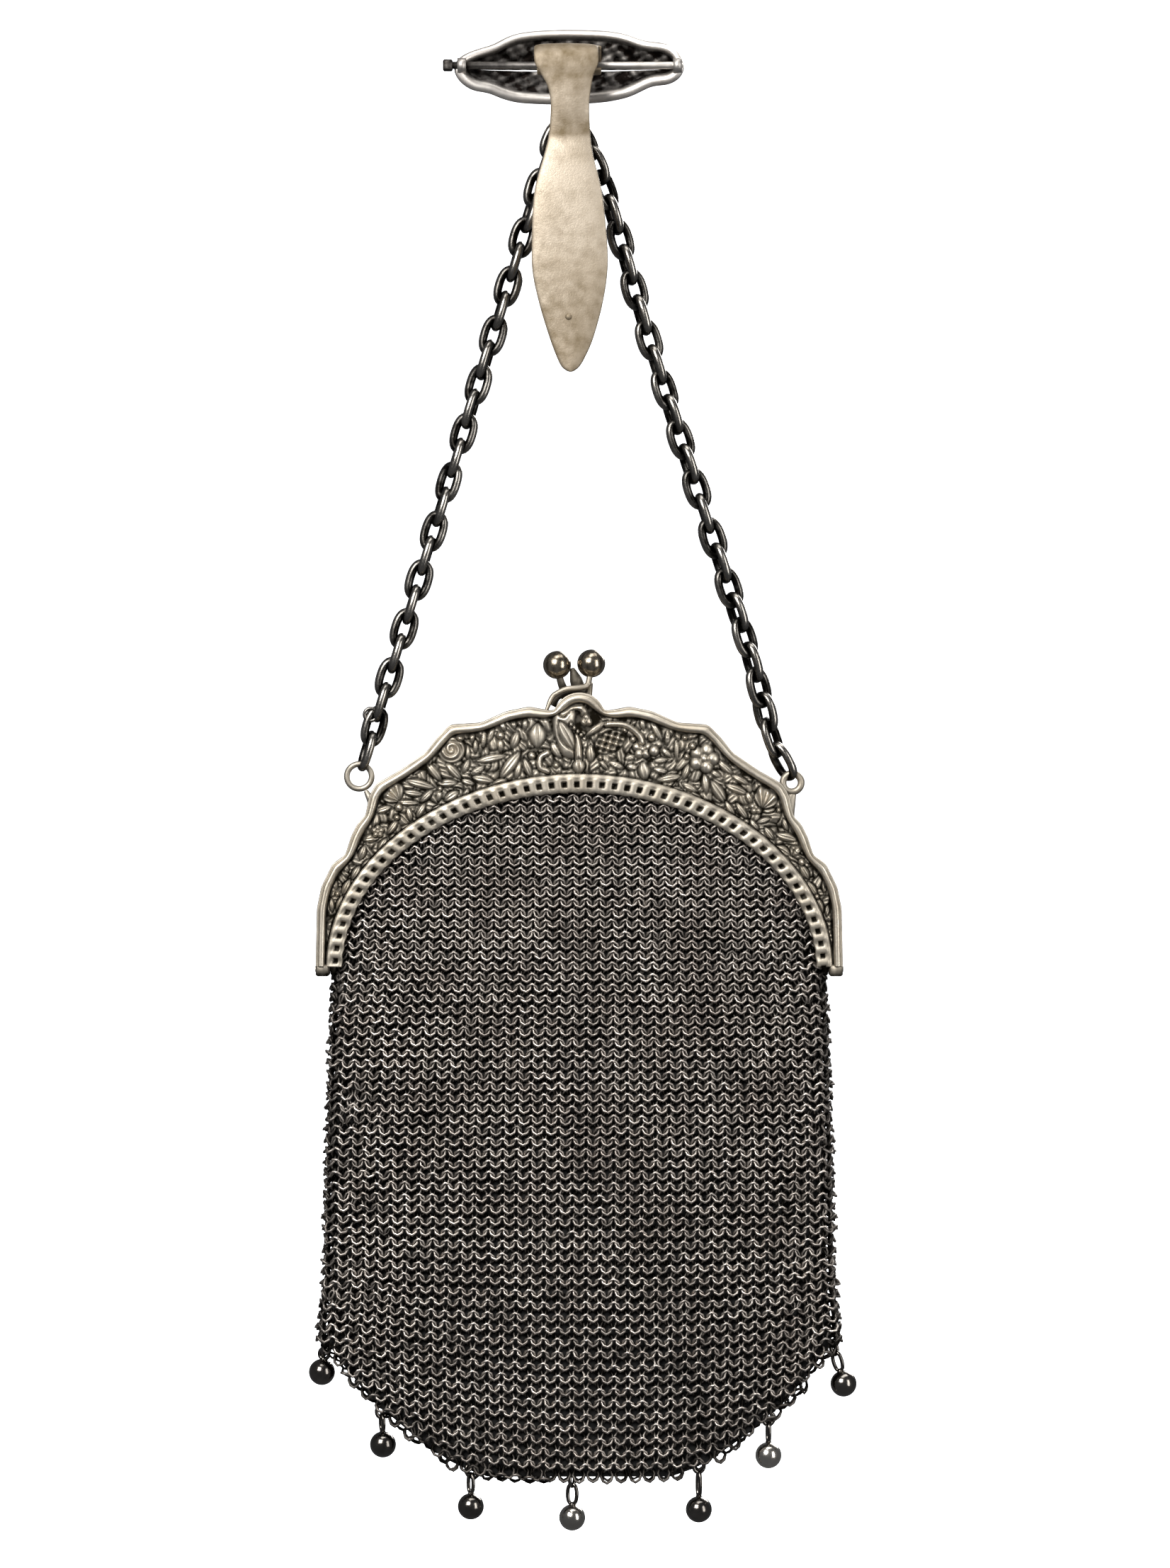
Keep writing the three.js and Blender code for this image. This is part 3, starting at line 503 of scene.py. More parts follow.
def rose_motif(x, z, at, radius, turns=2.6):
    """A dome with a spiral cut in it: cos of turns * r less the angle."""
    r = np.hypot(x - at[0], z - at[1]) / radius
    angle = np.arctan2(x - at[0], z - at[1])
    petal = 0.72 + 0.28 * np.cos(2 * np.pi * turns * r - angle)
    return (1 - r) * radius, np.clip(1 - r**4, 0, 1) ** 0.5 * petal


def shell_motif(x, z, at, radius, ribs=9, turn=0.0):
    """A round shell with ribs that spread from its foot."""
    a = np.radians(turn)
    s = ((x - at[0]) * np.sin(a) + (z - at[1]) * np.cos(a)) / radius
    t = ((x - at[0]) * np.cos(a) - (z - at[1]) * np.sin(a)) / radius
    r = np.hypot(s, t)
    spread = np.arctan2(t, s + 1.1)
    return (1 - r) * radius, np.clip(1 - r**4, 0, 1) ** 0.5 * (0.7 + 0.3 * np.cos(spread * ribs * 2))


def strand_motif(x, z, line, radius):
    """A raised strand: inside where the distance to the line's nearest point is under its radius."""
    line = smooth_line(np.column_stack([line, np.zeros(len(line))]), 40)[:, :2]
    away = np.min(np.hypot(x[:, None] - line[None, :, 0], z[:, None] - line[None, :, 1]), axis=1)
    return radius - away, np.clip(1 - (away / radius) ** 2, 0, 1) ** 0.5


def bead_motif(x, z, at, turn, long, wide, pitch=1.9):
    """An oval filled with beads: the product of two cosines, on axes turned with the oval."""
    a = np.radians(turn)
    s = (x - at[0]) * np.sin(a) + (z - at[1]) * np.cos(a)
    t = (x - at[0]) * np.cos(a) - (z - at[1]) * np.sin(a)
    r = np.hypot(s / (long / 2), t / (wide / 2))
    bead = np.cos(2 * np.pi * s / pitch) * np.cos(2 * np.pi * t / pitch)
    return (1 - r) * wide / 2, np.clip(1 - r**6, 0, 1) * (0.45 + 0.55 * np.clip(bead * 1.6, -0.6, 1))


def bud_motif(x, z, at_x, at_z, radius):
    """Half a ball: height is the root of 1 - r * r."""
    r = np.hypot(x - at_x, z - at_z) / radius
    return (1 - r) * radius, np.clip(1 - r * r, 0, 1) ** 0.5


def leaf_carpet(x, z, leaves, long=2.2, wide=1.0):
    """Height from the gap between the nearest and the second nearest leaf, with a vein along each."""
    a = leaves[:, 2]
    dx, dz = x[:, None] - leaves[:, 0], z[:, None] - leaves[:, 1]
    along, across = (dx * np.sin(a) + dz * np.cos(a)) / long, (dx * np.cos(a) - dz * np.sin(a)) / wide
    away = np.hypot(along, across)
    own = away.argmin(1)
    nearest, second = np.partition(away, 1, axis=1)[:, :2].T
    vein = 1 - 0.5 * np.exp(-((across[np.arange(len(x)), own] / 0.2) ** 2))
    return np.clip((second - nearest) * 2.2, 0, 1) ** 0.7 * (1 - 0.45 * np.clip(nearest, 0, 1) ** 2) * vein


# %% [markdown]
# The tables below place the motifs in millimetres from the middle of the hinge line, X to the right and
# Z up. Leaves give their middle, their turn clockwise from upright, their length and their width.

# %% Tables of the relief
leaf_table = np.array([
    # x, z, turn, long, wide: left side, from the bird outwards
    (-8.7, 49.0, 2, 5.6, 3.6), (-4.8, 45.9, -30, 4.0, 2.0), (-2.6, 44.4, -30, 3.0, 1.5),
    (-10.8, 42.3, -20, 4.4, 1.7), (-12.8, 41.7, 15, 3.9, 1.4), (-14.4, 42.8, 37, 7.4, 2.4),
    (-18.3, 44.2, 78, 6.8, 1.7), (-13.4, 48.0, 20, 4.0, 2.0), (-16.4, 46.9, 0, 3.0, 1.4),
    (-18.4, 49.2, 20, 4.4, 1.1), (-19.9, 48.2, 5, 4.0, 1.1), (-22.3, 48.8, 0, 3.2, 1.1),
    (-21.6, 46.8, 0, 3.2, 1.0), (-23.2, 45.4, 0, 3.4, 1.0), (-15.9, 51.0, -25, 2.6, 1.2),
    (-13.7, 51.6, -10, 2.8, 1.2), (-11.3, 51.4, 5, 3.0, 1.2), (-21.2, 41.7, 60, 3.8, 1.5),
    (-20.1, 39.9, 100, 4.9, 1.9), (-16.6, 39.2, 70, 3.6, 1.5), (-23.2, 39.3, 108, 3.2, 1.4),
    (-27.5, 39.1, 88, 4.4, 1.8), (-26.6, 36.4, 55, 3.9, 2.0), (-23.6, 36.9, 30, 2.6, 1.2),
    (-26.2, 41.6, -42, 4.8, 1.8), (-23.6, 42.6, 25, 3.4, 1.4), (-30.3, 41.5, -38, 5.6, 1.8),
    (-33.4, 42.4, 36, 4.0, 1.4), (-31.2, 44.0, 0, 2.4, 1.1), (-33.2, 38.9, 105, 6.4, 1.8),
    (-34.6, 37.0, 98, 4.6, 1.5), (-31.8, 36.4, 45, 4.0, 1.5), (-35.8, 35.0, 92, 5.0, 1.3),
    (-29.2, 36.6, 10, 3.0, 1.2), (-33.0, 33.4, 30, 3.8, 1.4), (-35.4, 32.6, -12, 3.2, 1.3),
    (-29.9, 33.6, 50, 3.0, 1.2), (-40.8, 33.6, 70, 3.6, 1.5), (-42.4, 31.0, 10, 3.6, 1.6),
    (-38.9, 29.9, 35, 3.8, 1.5), (-43.4, 27.6, 80, 4.2, 1.7), (-41.0, 26.2, 30, 3.6, 1.6),
    (-45.2, 24.6, 20, 3.4, 1.6), (-43.8, 22.4, 70, 3.6, 1.6), (-46.6, 20.4, 30, 3.6, 1.6),
    (-48.8, 21.6, -30, 2.8, 1.4), (-48.6, 17.4, 25, 3.8, 1.6), (-51.0, 18.2, -15, 3.0, 1.3),
    (-50.0, 14.0, 20, 3.6, 1.3), (-51.6, 13.6, -5, 3.0, 1.1), (-51.0, 9.4, 5, 4.2, 1.1),
    (-52.0, 5.2, 0, 4.0, 0.8), (-51.2, 2.6, 0, 2.2, 0.9),
    # right side, from the bird outwards
    (2.4, 45.2, 0, 3.9, 2.0), (2.7, 52.5, 20, 2.0, 1.0), (3.1, 50.0, 52, 5.6, 1.2),
    (5.1, 42.9, -40, 2.9, 1.1), (7.8, 42.8, 112, 3.6, 1.5), (11.0, 42.4, 95, 2.6, 1.4),
    (13.5, 41.6, -8, 4.2, 2.6), (10.6, 44.4, 75, 2.6, 1.3), (16.9, 41.7, 100, 3.2, 1.3),
    (18.7, 40.1, 80, 5.4, 1.7), (16.9, 43.8, 82, 3.4, 1.3), (20.3, 46.2, 0, 5.0, 1.1),
    (20.6, 49.0, 0, 2.4, 1.1), (18.4, 48.6, 5, 3.6, 1.2), (16.1, 50.0, -28, 5.2, 1.4),
    (13.2, 51.4, -10, 2.8, 1.2), (10.4, 52.4, 15, 2.2, 1.1), (18.2, 45.4, -50, 3.0, 1.3),
    (22.2, 41.4, 20, 3.6, 1.5), (23.0, 38.2, -60, 4.0, 1.5), (20.6, 37.6, -70, 3.2, 1.3),
    (26.3, 39.0, -5, 4.6, 1.7), (29.0, 37.3, -33, 5.8, 2.3), (24.6, 36.0, -50, 3.6, 1.4),
    (32.8, 37.8, -68, 5.2, 1.8), (33.6, 39.8, -62, 4.2, 1.4), (30.4, 42.4, -48, 4.4, 1.7),
    (28.4, 41.0, -60, 2.8, 1.3), (27.4, 34.4, -45, 3.0, 1.4), (33.9, 33.3, -35, 4.4, 1.5),
    (31.4, 33.8, -32, 3.9, 1.3), (35.4, 36.0, -20, 2.6, 1.4), (36.5, 30.4, -40, 3.0, 1.2),
    (39.6, 33.4, 78, 2.8, 1.1), (38.4, 31.3, 70, 3.2, 1.2), (39.6, 28.6, -35, 3.4, 1.5),
    (43.0, 30.4, -20, 2.8, 1.4), (43.3, 27.8, -75, 4.8, 1.9), (42.4, 25.0, -58, 3.8, 2.2),
    (45.5, 24.9, 40, 3.0, 1.2), (44.4, 22.2, -80, 2.8, 1.3), (47.0, 20.6, -30, 3.8, 1.6),
    (49.4, 20.6, 10, 2.8, 1.2), (48.6, 17.0, -30, 3.8, 1.6), (51.2, 17.6, 5, 3.0, 1.2),
    (50.2, 13.6, -20, 3.6, 1.4), (51.8, 12.6, 10, 2.8, 1.1), (51.2, 8.8, -8, 3.8, 1.2),
    (52.0, 5.0, 0, 3.8, 0.8), (51.2, 2.6, 0, 2.2, 0.9),
])
flower_table = [
    dict(at=(13.2, 46.2), radius=2.2, petals=5), dict(at=(26.0, 44.2), radius=3.2, petals=5, turn=20),
    dict(at=(-42.0, 29.0), radius=1.4, petals=5), dict(at=(36.9, 34.0), radius=1.5, petals=5),
]
bud_table = np.array([  # x, z, radius: round buds between the leaves
    (-4.8, 42.8, 0.6), (-9.9, 44.8, 0.8), (-16.4, 49.0, 0.8), (-24.8, 48.6, 0.8), (-18.6, 36.9, 0.6),
    (-29.0, 37.9, 0.5), (-37.6, 34.0, 0.8), (-38.0, 31.9, 0.6), (15.1, 48.6, 0.8), (15.6, 45.8, 1.1),
    (22.0, 48.6, 0.6), (22.4, 44.6, 0.6), (23.6, 46.8, 0.7), (34.8, 31.0, 0.6), (41.6, 33.4, 0.5),
    (45.0, 20.2, 0.6), (-44.8, 20.2, 0.6), (-47.8, 24.2, 0.5), (46.4, 22.6, 0.7), (48.0, 22.8, 0.5),
    (49.6, 15.4, 0.5), (-50.4, 16.0, 0.5), (9.4, 50.0, 0.6), (11.2, 48.2, 0.6), (4.4, 44.4, 0.5),
])
neck_beads = np.column_stack([  # a row of five from the throat to the breast
    np.linspace(-1.7, 1.1, 5), np.linspace(51.3, 48.4, 5), np.full(5, 0.42)
])
bird_lines = [  # strands: points and radius: the body, the head, the leg, the scroll and the plume
    dict(line=[(-3.0, 53.2), (-3.2, 50.4), (-1.8, 46.4)], radius=2.3),
    dict(line=[(-3.4, 53.6), (-2.0, 54.9), (-0.2, 55.0), (1.0, 54.1), (1.0, 53.4)], radius=0.75),
    dict(line=[(-0.6, 48.6), (-0.2, 46.0), (-0.1, 42.4)], radius=0.8),
    dict(line=[(-6.6, 45.4), (-8.1, 44.4), (-8.2, 42.4), (-6.6, 41.6)], radius=0.6),
    dict(line=[(5.6, 51.4), (9.0, 51.3), (10.9, 50.5), (12.6, 48.9), (13.1, 47.6)], radius=0.65),
]
print("leaves:", len(leaf_table), "flowers:", len(flower_table), "buds:", len(bud_table))


# %% [markdown]
# The carpet comes first, on a seeded, jittered net. The motifs then go on in turn, each lowering what is
# beneath its moat before its own height is laid over the rest.

# %% The whole relief
carpet_step, carpet_depth, moat = (2.6, 2.2), 0.75, 0.34
block_size = 4000


def relief(x, z):
    """Height from 0 to 1 over points x, z: the carpet, then the motifs, each inside its moat."""
    shuffle = np.random.default_rng(11)
    net = np.stack(np.meshgrid(np.arange(-54, 54, carpet_step[0]), np.arange(1, 58, carpet_step[1])),
                   -1).reshape(-1, 2)
    net = net + shuffle.uniform(-0.8, 0.8, net.shape)
    net = net[np.hypot(net[:, 0] / (arch_half_width + 2), net[:, 1] / (arch_rise + 2)) > 1]
    lean = np.arctan2(net[:, 0], net[:, 1]) + shuffle.uniform(-1.2, 1.2, len(net))
    carpet = np.column_stack([net, lean])
    height = carpet_depth * np.concatenate([
        leaf_carpet(x[i:i + block_size], z[i:i + block_size], carpet) for i in range(0, len(x), block_size)
    ])

    def lay(inside, raised):
        """Keeps the height outside the moat, and takes the raised one inside the motif."""
        nonlocal height
        kept = height * np.clip(-inside / moat, 0, 1) * (inside < 0)
        height = np.where(inside > 0, raised, kept)

    for row in leaf_table:
        lay(*leaf_motif(x, z, row[:2], row[2], row[3], row[4]))
    for row in flower_table:
        lay(*flower_motif(x, z, **row))
    lay(*rose_motif(x, z, (-26.6, 46.1), 2.9))
    lay(*shell_motif(x, z, (39.0, 36.2), 2.5, 7, 20))
    lay(*shell_motif(x, z, (-39.1, 37.4), 2.5, 7, -40))
    for row in bud_table:
        lay(*bud_motif(x, z, *row))
    lay(*bead_motif(x, z, (6.4, 47.6), 62, 7.0, 4.4))  # the dotted wing
    for row in bird_lines[:1]:
        lay(*strand_motif(x, z, np.array(row["line"]), row["radius"]))
    lay(2.4 - np.hypot(x - 1.7, z - 52.2), 0 * x)  # the dark hollow behind the tulip
    for row in bird_lines[1:]:
        lay(*strand_motif(x, z, np.array(row["line"]), row["radius"]))
    lay(*leaf_motif(x, z, (-2.6, 49.0), -27, 7.0, 2.9))  # the folded wing
    lay(*flower_motif(x, z, (1.5, 52.1), 1.3, 3))  # the tulip
    for row in neck_beads:
        lay(*bud_motif(x, z, *row))
    lay(*leaf_motif(x, z, (3.4, 50.4), 54, 5.6, 1.4))  # the plume's foot
    lay(*leaf_motif(x, z, (-0.1, 42.6), 0, 3.4, 2.8))  # the foot
    return height


# %% [markdown]
# The half itself is one closed skin. Its sections run over the band, the field and the rim, down the
# outer wall and back behind. The stitch holes are pits in the band at an even pitch, with a soft ridge
# between each two. The rim is a bead with a fine ridge outside it. The silver's brightness goes with
# height: dark in the pits and between the leaves, bright on the rim and the leaves' crests.

# %% Make a half of the frame
rim_front, field_front, plate_back, seam_back = 5.5, 4.75, 4.0, 0.15  # distances from the seam
relief_height, groove = 0.85, 0.5
hole_pitch, hole_half = 2.65, 0.57


def frame_half(count, fineness):
    """count sections along the outline; fineness scales the points across each."""
    outline = frame_outline(count)
    rim_in = inset(outline, rim_width, max(3, count // 110))
    turn = np.arctan2(rim_in[:, 0], rim_in[:, 1])
    arch_out = arch_at(turn, band_width - 0.1 + 0.55 * np.cos(turn) ** 2)
    run = along_line(arch_at(turn, band_width / 2))
    phase = (run / hole_pitch) % 1 - 0.5
    wave = np.cos(2 * np.pi * phase)
    arch_in = arch_at(turn, -0.55) - 0.1 * wave[:, None] * unit(arch_out)
    steps = [int(round(n * fineness)) for n in (18, 54, 10)]
    shares = [np.linspace(0, 1, n, endpoint=False) for n in steps]
    edges = [(arch_in, arch_out), (arch_out, rim_in), (rim_in, outline)]
    flat = [a[:, None] + (b - a)[:, None] * s[None, :, None] for (a, b), s in zip(edges, shares)]
    band_s, field_s, rim_s = (np.broadcast_to(s, (count, len(s))) for s in shares)

    along = np.abs(phase * hole_pitch)[:, None]
    across = np.abs(band_s - 0.44) * (band_width + 0.8)
    hole = np.clip((hole_half - np.maximum(along, across)) / 0.12, 0, 1)
    swell = 0.3 * (1 - np.abs(2 * band_s - 1) ** 6) - 0.1 * wave[:, None] * (band_s < 0.75)
    band_y = field_front + swell - 0.9 * hole
    band_tone = (0.56 - 0.16 * wave[:, None]) * (1 - hole)
    band_tone = band_tone * np.clip((1.03 - np.abs(2 * band_s - 1)) * 7, 0.1, 1)

    points = flat[1].reshape(-1, 2)
    height = relief(points[:, 0], points[:, 1]).reshape(count, -1)
    depth = np.linalg.norm(rim_in - arch_out, axis=1)[:, None]
    ragged = 0.55 + 0.4 * np.sin(run * 1.1)[:, None] * np.sin(run * 0.37 + 1)[:, None]
    room_for_it = np.clip((1 - field_s) * depth / ragged - 0.3, 0, 1) * np.clip(field_s * depth / 0.3, 0, 1)
    field_y = field_front - groove + (relief_height + groove * 0.6) * height * room_for_it
    field_tone = np.clip(1.0 * (height * room_for_it) ** 1.2 - 0.05, 0, 0.9)

    bead = np.clip(1 - np.abs((rim_s - 0.42) / 0.42) ** 3, 0, 1)
    ridge = np.clip(1 - np.abs((rim_s - 0.92) / 0.1) ** 2, 0, 1)
    rim_y = field_front + (rim_front - field_front) * np.maximum(bead, 0.72 * ridge)
    rim_tone = np.clip(0.06 + np.maximum(bead, 0.8 * ridge), 0, 0.88)

    front = np.concatenate(flat, 1)
    front_y = np.concatenate([band_y, field_y, rim_y], 1)
    back_edges = [outline, outline, outline, rim_in, rim_in, arch_out, arch_in]
    back_y = [rim_front - 0.6, 3.0, seam_back, seam_back, plate_back, plate_back, plate_back]
    back = np.stack(back_edges, 1)
    grid_xz = np.concatenate([front, back], 1)
    grid_y = np.concatenate([front_y, np.broadcast_to(back_y, (count, len(back_y)))], 1)
    grid = np.stack([grid_xz[..., 0], -grid_y, grid_xz[..., 1]], -1)
    behind_tone = np.broadcast_to([0.55, 0.35, 0.2, 0.15, 0.2, 0.3, 0.4], (count, 7))
    wear_and_shading = np.concatenate([band_tone, field_tone, rim_tone, behind_tone], 1).ravel()
    return skin(grid), wear_and_shading


# %% [markdown]
# The clasp's stems and balls, the eyes for the chain, and the hinge barrels are turned or drawn
# separately and soldered on. A ball is a half circle turned about its axis.

# %% Solder on the clasp, the eyes and the hinge barrels
def globe(centre, radius, sides=28, rows=18):
    """point = centre + radius * (cos a * sin b, sin a * sin b, cos b), with b held off the poles."""
    b = np.linspace(0.02, np.pi - 0.02, rows)[:, None]
    a = np.linspace(0, 2 * np.pi, sides, endpoint=False)[None, :]
    ball = np.stack([np.cos(a) * np.sin(b), np.sin(a) * np.sin(b), np.cos(b) + 0 * a], -1)
    return skin(np.asarray(centre, float) + radius * ball)


def block(middle, half, round_by=0.25):
    """A bar along X whose section is a circle squared off: each coordinate to the power 0.4."""
    a = np.linspace(0, 2 * np.pi, 24, endpoint=False)
    square = np.stack([np.sign(v) * np.abs(v) ** 0.4 for v in (np.cos(a), np.sin(a))], -1)
    ends = np.array([(-1, 0.8), (-1 + round_by, 1), (1 - round_by, 1), (1, 0.8)])
    grid = np.stack(
        [ends[:, :1] * half[0] + 0 * a, ends[:, 1:] * square[:, 0] * half[1],
         ends[:, 1:] * square[:, 1] * half[2]], -1)
    return skin(np.asarray(middle, float) + grid)


eyes = {  # centre across, back and up, radius and wire of each eye
    "left": dict(at=(-46.0, -1.0, 40.4), radius=2.6, wire=0.62),
    "right": dict(at=(44.5, -1.0, 39.1), radius=1.9, wire=0.74),
}
clasp_ball = 2.95


def front_fittings():
    """The right ball on its swept strap, both eyes with their feet, and the outer hinge barrels."""
    strap = smooth_line([(-7.0, -2.0, 53.9), (-5.7, -1.7, 56.9), (-4.3, -1.8, 58.0), (-2.6, -1.8, 58.7),
                         (-0.6, -1.6, 58.9), (1.2, -1.2, 59.2), (2.1, -0.8, 60.0)], 48)
    parts = [wire(strap, np.interp(np.arange(48), [0, 6, 40, 47], [0.35, 0.55, 0.6, 0.6]), 14)]
    parts.append(wire(smooth_line([(1.8, -1.0, 59.4), (2.1, -0.6, 60.8), (2.4, -0.2, 63.0)], 16), 0.62))
    parts.append(wire(smooth_line([(2.0, 0.6, 56.8), (2.1, 0.2, 58.6), (2.2, -0.3, 60.0)], 16), 0.7))
    for eye in eyes.values():
        at = np.array(eye["at"])
        parts.append(wire(at + oval(eye["radius"], eye["radius"], count=40), eye["wire"], 14,
                          (0, 1, 0), True))
    parts.append(wire(smooth_line([(44.6, -1.0, 37.0), (44.2, -1.2, 35.4), (43.8, -1.8, 33.4),
                                   (43.6, -2.4, 31.8)], 20),
                      np.interp(np.arange(20), [0, 8, 19], [0.8, 1.15, 1.35]), 18, (0, 1, 0), False, 0.55))
    parts.append(wire(smooth_line([(-44.6, -1.0, 37.4), (-44.0, -1.2, 36.2), (-43.2, -2.0, 34.6)], 16),
                      np.linspace(0.5, 0.9, 16), 14))
    for side in (-1, 1):
        parts.append(block((side * 53.6, -1.75, 0), (1.4, 3.4, 1.3)))
    return joined(parts)


def back_fittings():
    """The left ball's stem and the arm behind both, and the inner hinge barrels."""
    parts = [wire(smooth_line([(-4.2, -0.2, 61.4), (-3.8, 0.2, 60.0), (-3.3, 1.2, 58.6), (-3.0, 2.0, 57.0)],
                              24), np.linspace(0.7, 1.0, 24))]
    arm = smooth_line([(-1.5, 0.2, 62.9), (-1.1, 0.6, 61.8), (-0.7, 1.0, 60.6), (-0.2, 1.6, 59.0),
                       (0.4, 2.4, 57.2)], 30)
    parts.append(wire(arm, np.interp(np.arange(30), [0, 14, 29], [0.5, 1.3, 1.6]), 16))
    # A dark wire behind the right ball's strap: painted shadow between the strap and the dome.
    shade = smooth_line([(-5.7, 0.6, 55.2), (-4.7, 0.7, 57.0), (-2.8, 0.8, 58.1), (0.0, 0.9, 58.5),
                         (2.0, 1.0, 58.0)], 40)
    parts.append(wire(shade, 0.85, 14))
    for side in (-1, 1):
        parts.append(block((side * 51.3, 1.75, 0), (0.8, 3.4, 1.3)))
    return joined(parts)


# %% [markdown]
# Both halves are one shape. The back one is turned half round, is made of fewer sections, and carries the
# left ball, so that the two stems cross as a kiss clasp's do. The hinge barrels darken towards their
# undersides, and the back half's fittings are darker than the front's: painted shade behind the front.

# %% Place both halves
def place_half(name, half, wear_and_shading, fittings, back):
    """The back half is the front one turned half round its upright axis; its fittings are not."""
    points, faces = half
    if back:
        points = points * (-1, -1, 1)
    both, both_faces = joined([(points, faces), fittings])
    low_end = np.clip((fittings[0][:, 2] + 1.0) / 2.0, 0.12, 1)
    # The back half's fittings get a lower number than the front's: painted shade, as they stand behind.
    all_tone = np.concatenate([wear_and_shading, (0.2 if back else 0.52) * low_end])
    piece = put_mesh(name + "_relief", both + hinge, both_faces, all_tone)
    finish_piece(piece, frame_silver, "frame", "purse", name)


front_half, front_half_tone = frame_half(900, 1.0)
place_half("frame_front", front_half, front_half_tone, front_fittings(), False)
back_half, back_half_tone = frame_half(560, 0.7)
place_half("frame_back", back_half, back_half_tone, back_fittings(), True)

# %% [markdown]
# The clasp's two balls are dark with bright wear in twelve faint ribs, as thumbs have left it.

# %% Clasp balls
for name, centre in [("clasp_ball_left", (-4.65, 0, 63.7)), ("clasp_ball_right", (2.5, 0, 64.0))]:
    points, faces = globe(centre, clasp_ball, 48, 24)
    around = np.arctan2(points[:, 1] - centre[1], points[:, 0] - centre[0])
    rib = np.cos(12 * around) * np.sin(np.linspace(0, np.pi, len(points)))
    piece = put_mesh(name, points + hinge, faces, 0.5 + 0.3 * rib)
    finish_piece(piece, clasp_silver, "frame", "purse")

# %% [markdown]
# ## The mesh bag
#
# The bag is real ring mesh: each ring hooks through two above it and two below. The rows lean to and
# fro by turns, which gives the zigzag lines of such mesh. All rings are copies of one ring of 32 faces.
# A formula says where the bag's front lies at any place, and the rings are set on it row by row.

# %% Shape of the bag
bag_rows = np.array([  # height below the hinge line, half width and half depth, from the top down
    (37.6, 50.6, 3.2), (0.0, 50.8, 5.2), (-8.0, 51.3, 5.6), (-39.0, 52.4, 6.4), (-64.0, 52.9, 5.8),
    (-73.0, 53.9, 5.2), (-78.3, 54.3, 4.7), (-84.6, 49.6, 3.9), (-90.7, 44.6, 3.1), (-99.0, 34.8, 2.1),
    (-104.4, 27.0, 1.6), (-107.6, 18.0, 1.1),
])[::-1]
bag_folds = np.array([  # place across as a share of the half width, width alike, depth
    (-0.87, 0.05, 0.9), (-0.55, 0.1, 0.3), (-0.25, 0.12, 0.35), (0.1, 0.1, 0.25), (0.42, 0.12, 0.4),
    (0.68, 0.08, 0.3), (0.86, 0.06, 0.9),
])
bag_corner, ring_pitch = -78.3, 2.97
bag_bottom = bag_rows[0, 0]
first_row, behind_band, behind_top = 1.9, 1.4, 1.2  # how far the mesh goes up behind the band
row_steps = np.array([(-110, 1.17), (-14, 1.147), (10, 1.095), (40, 1.075)])  # height, step
sag_start, sag_reach, sag_most, sag_middle, sag_half = -40, 68, 7.5, 5, 50


def bag_width(z):
    """Half width at a height, from the table; nothing below the hem."""
    return np.interp(z, bag_rows[:, 0], bag_rows[:, 1], left=1e-3)


def row_heights():
    """Heights of the rows: their steps grow downwards, as the mesh hangs by its own weight."""
    heights = [arch_rise + first_row]
    while heights[-1] > bag_bottom:
        heights.append(heights[-1] - np.interp(heights[-1], row_steps[:, 0], row_steps[:, 1]))
    return heights


def row_sag(x, z):
    """How far a row hangs below its height: most at the bottom of the bag and in its middle."""
    low = np.clip((sag_start - z) / sag_reach, 0, 1) ** 1.5
    return sag_most * low * np.clip(1 - ((x - sag_middle) / sag_half) ** 2, 0, 1)


def bag_front(x, z):
    """How far the bag's front stands out: the row's depth, times 1 - |x / w| ** 2.5 to a quarter,
    less the folds, and never more than the frame leaves room for just under the arch."""
    share = np.clip(np.abs(x) / bag_width(z), 0, 1)
    out = np.minimum(1, 1.04 * np.clip(1 - share**2.5, 0, 1) ** 0.25)
    arch_top = arch_rise * np.sqrt(np.clip(1 - (x / arch_half_width) ** 2, 0, 1))
    below = np.clip((arch_top - z) / 16, 0, 1)
    depth = np.interp(z, bag_rows[:, 0], bag_rows[:, 2])
    depth = np.where(z > -8, np.minimum(depth, 3.1 + 2.6 * np.sin(below * np.pi / 2)), depth)
    signed = (x / bag_width(z))[..., None]
    fold = (bag_folds[:, 2] * np.exp(-(((signed - bag_folds[:, 0]) / bag_folds[:, 1]) ** 2))).sum(-1)
    hang = np.clip((arch_top - z) / 40, 0, 1)
    wave = 0.22 * np.sin(x / 4.1 + 0.6 * np.sin(z / 13)) + 0.15 * np.sin(x / 9.7 + z / 21)
    return depth * out - hang * (fold * out + wave * out)


print("rows of rings:", len(row_heights()))


# %% [markdown]
# A row's rings are spaced evenly along the bag's surface, not across the picture, so they crowd together
# where the bag turns away at its sides. Every second row is moved by half a pitch.

# %% Places and directions of the rings
def row_line(z, side):
    """The front of a row from its left edge to its right, at 400 points; side -1 is the front."""
    x = bag_width(z) * np.sin(np.linspace(-np.pi / 2, np.pi / 2, 400))
    return np.stack([x, side * bag_front(x, np.full_like(x, z))], -1)


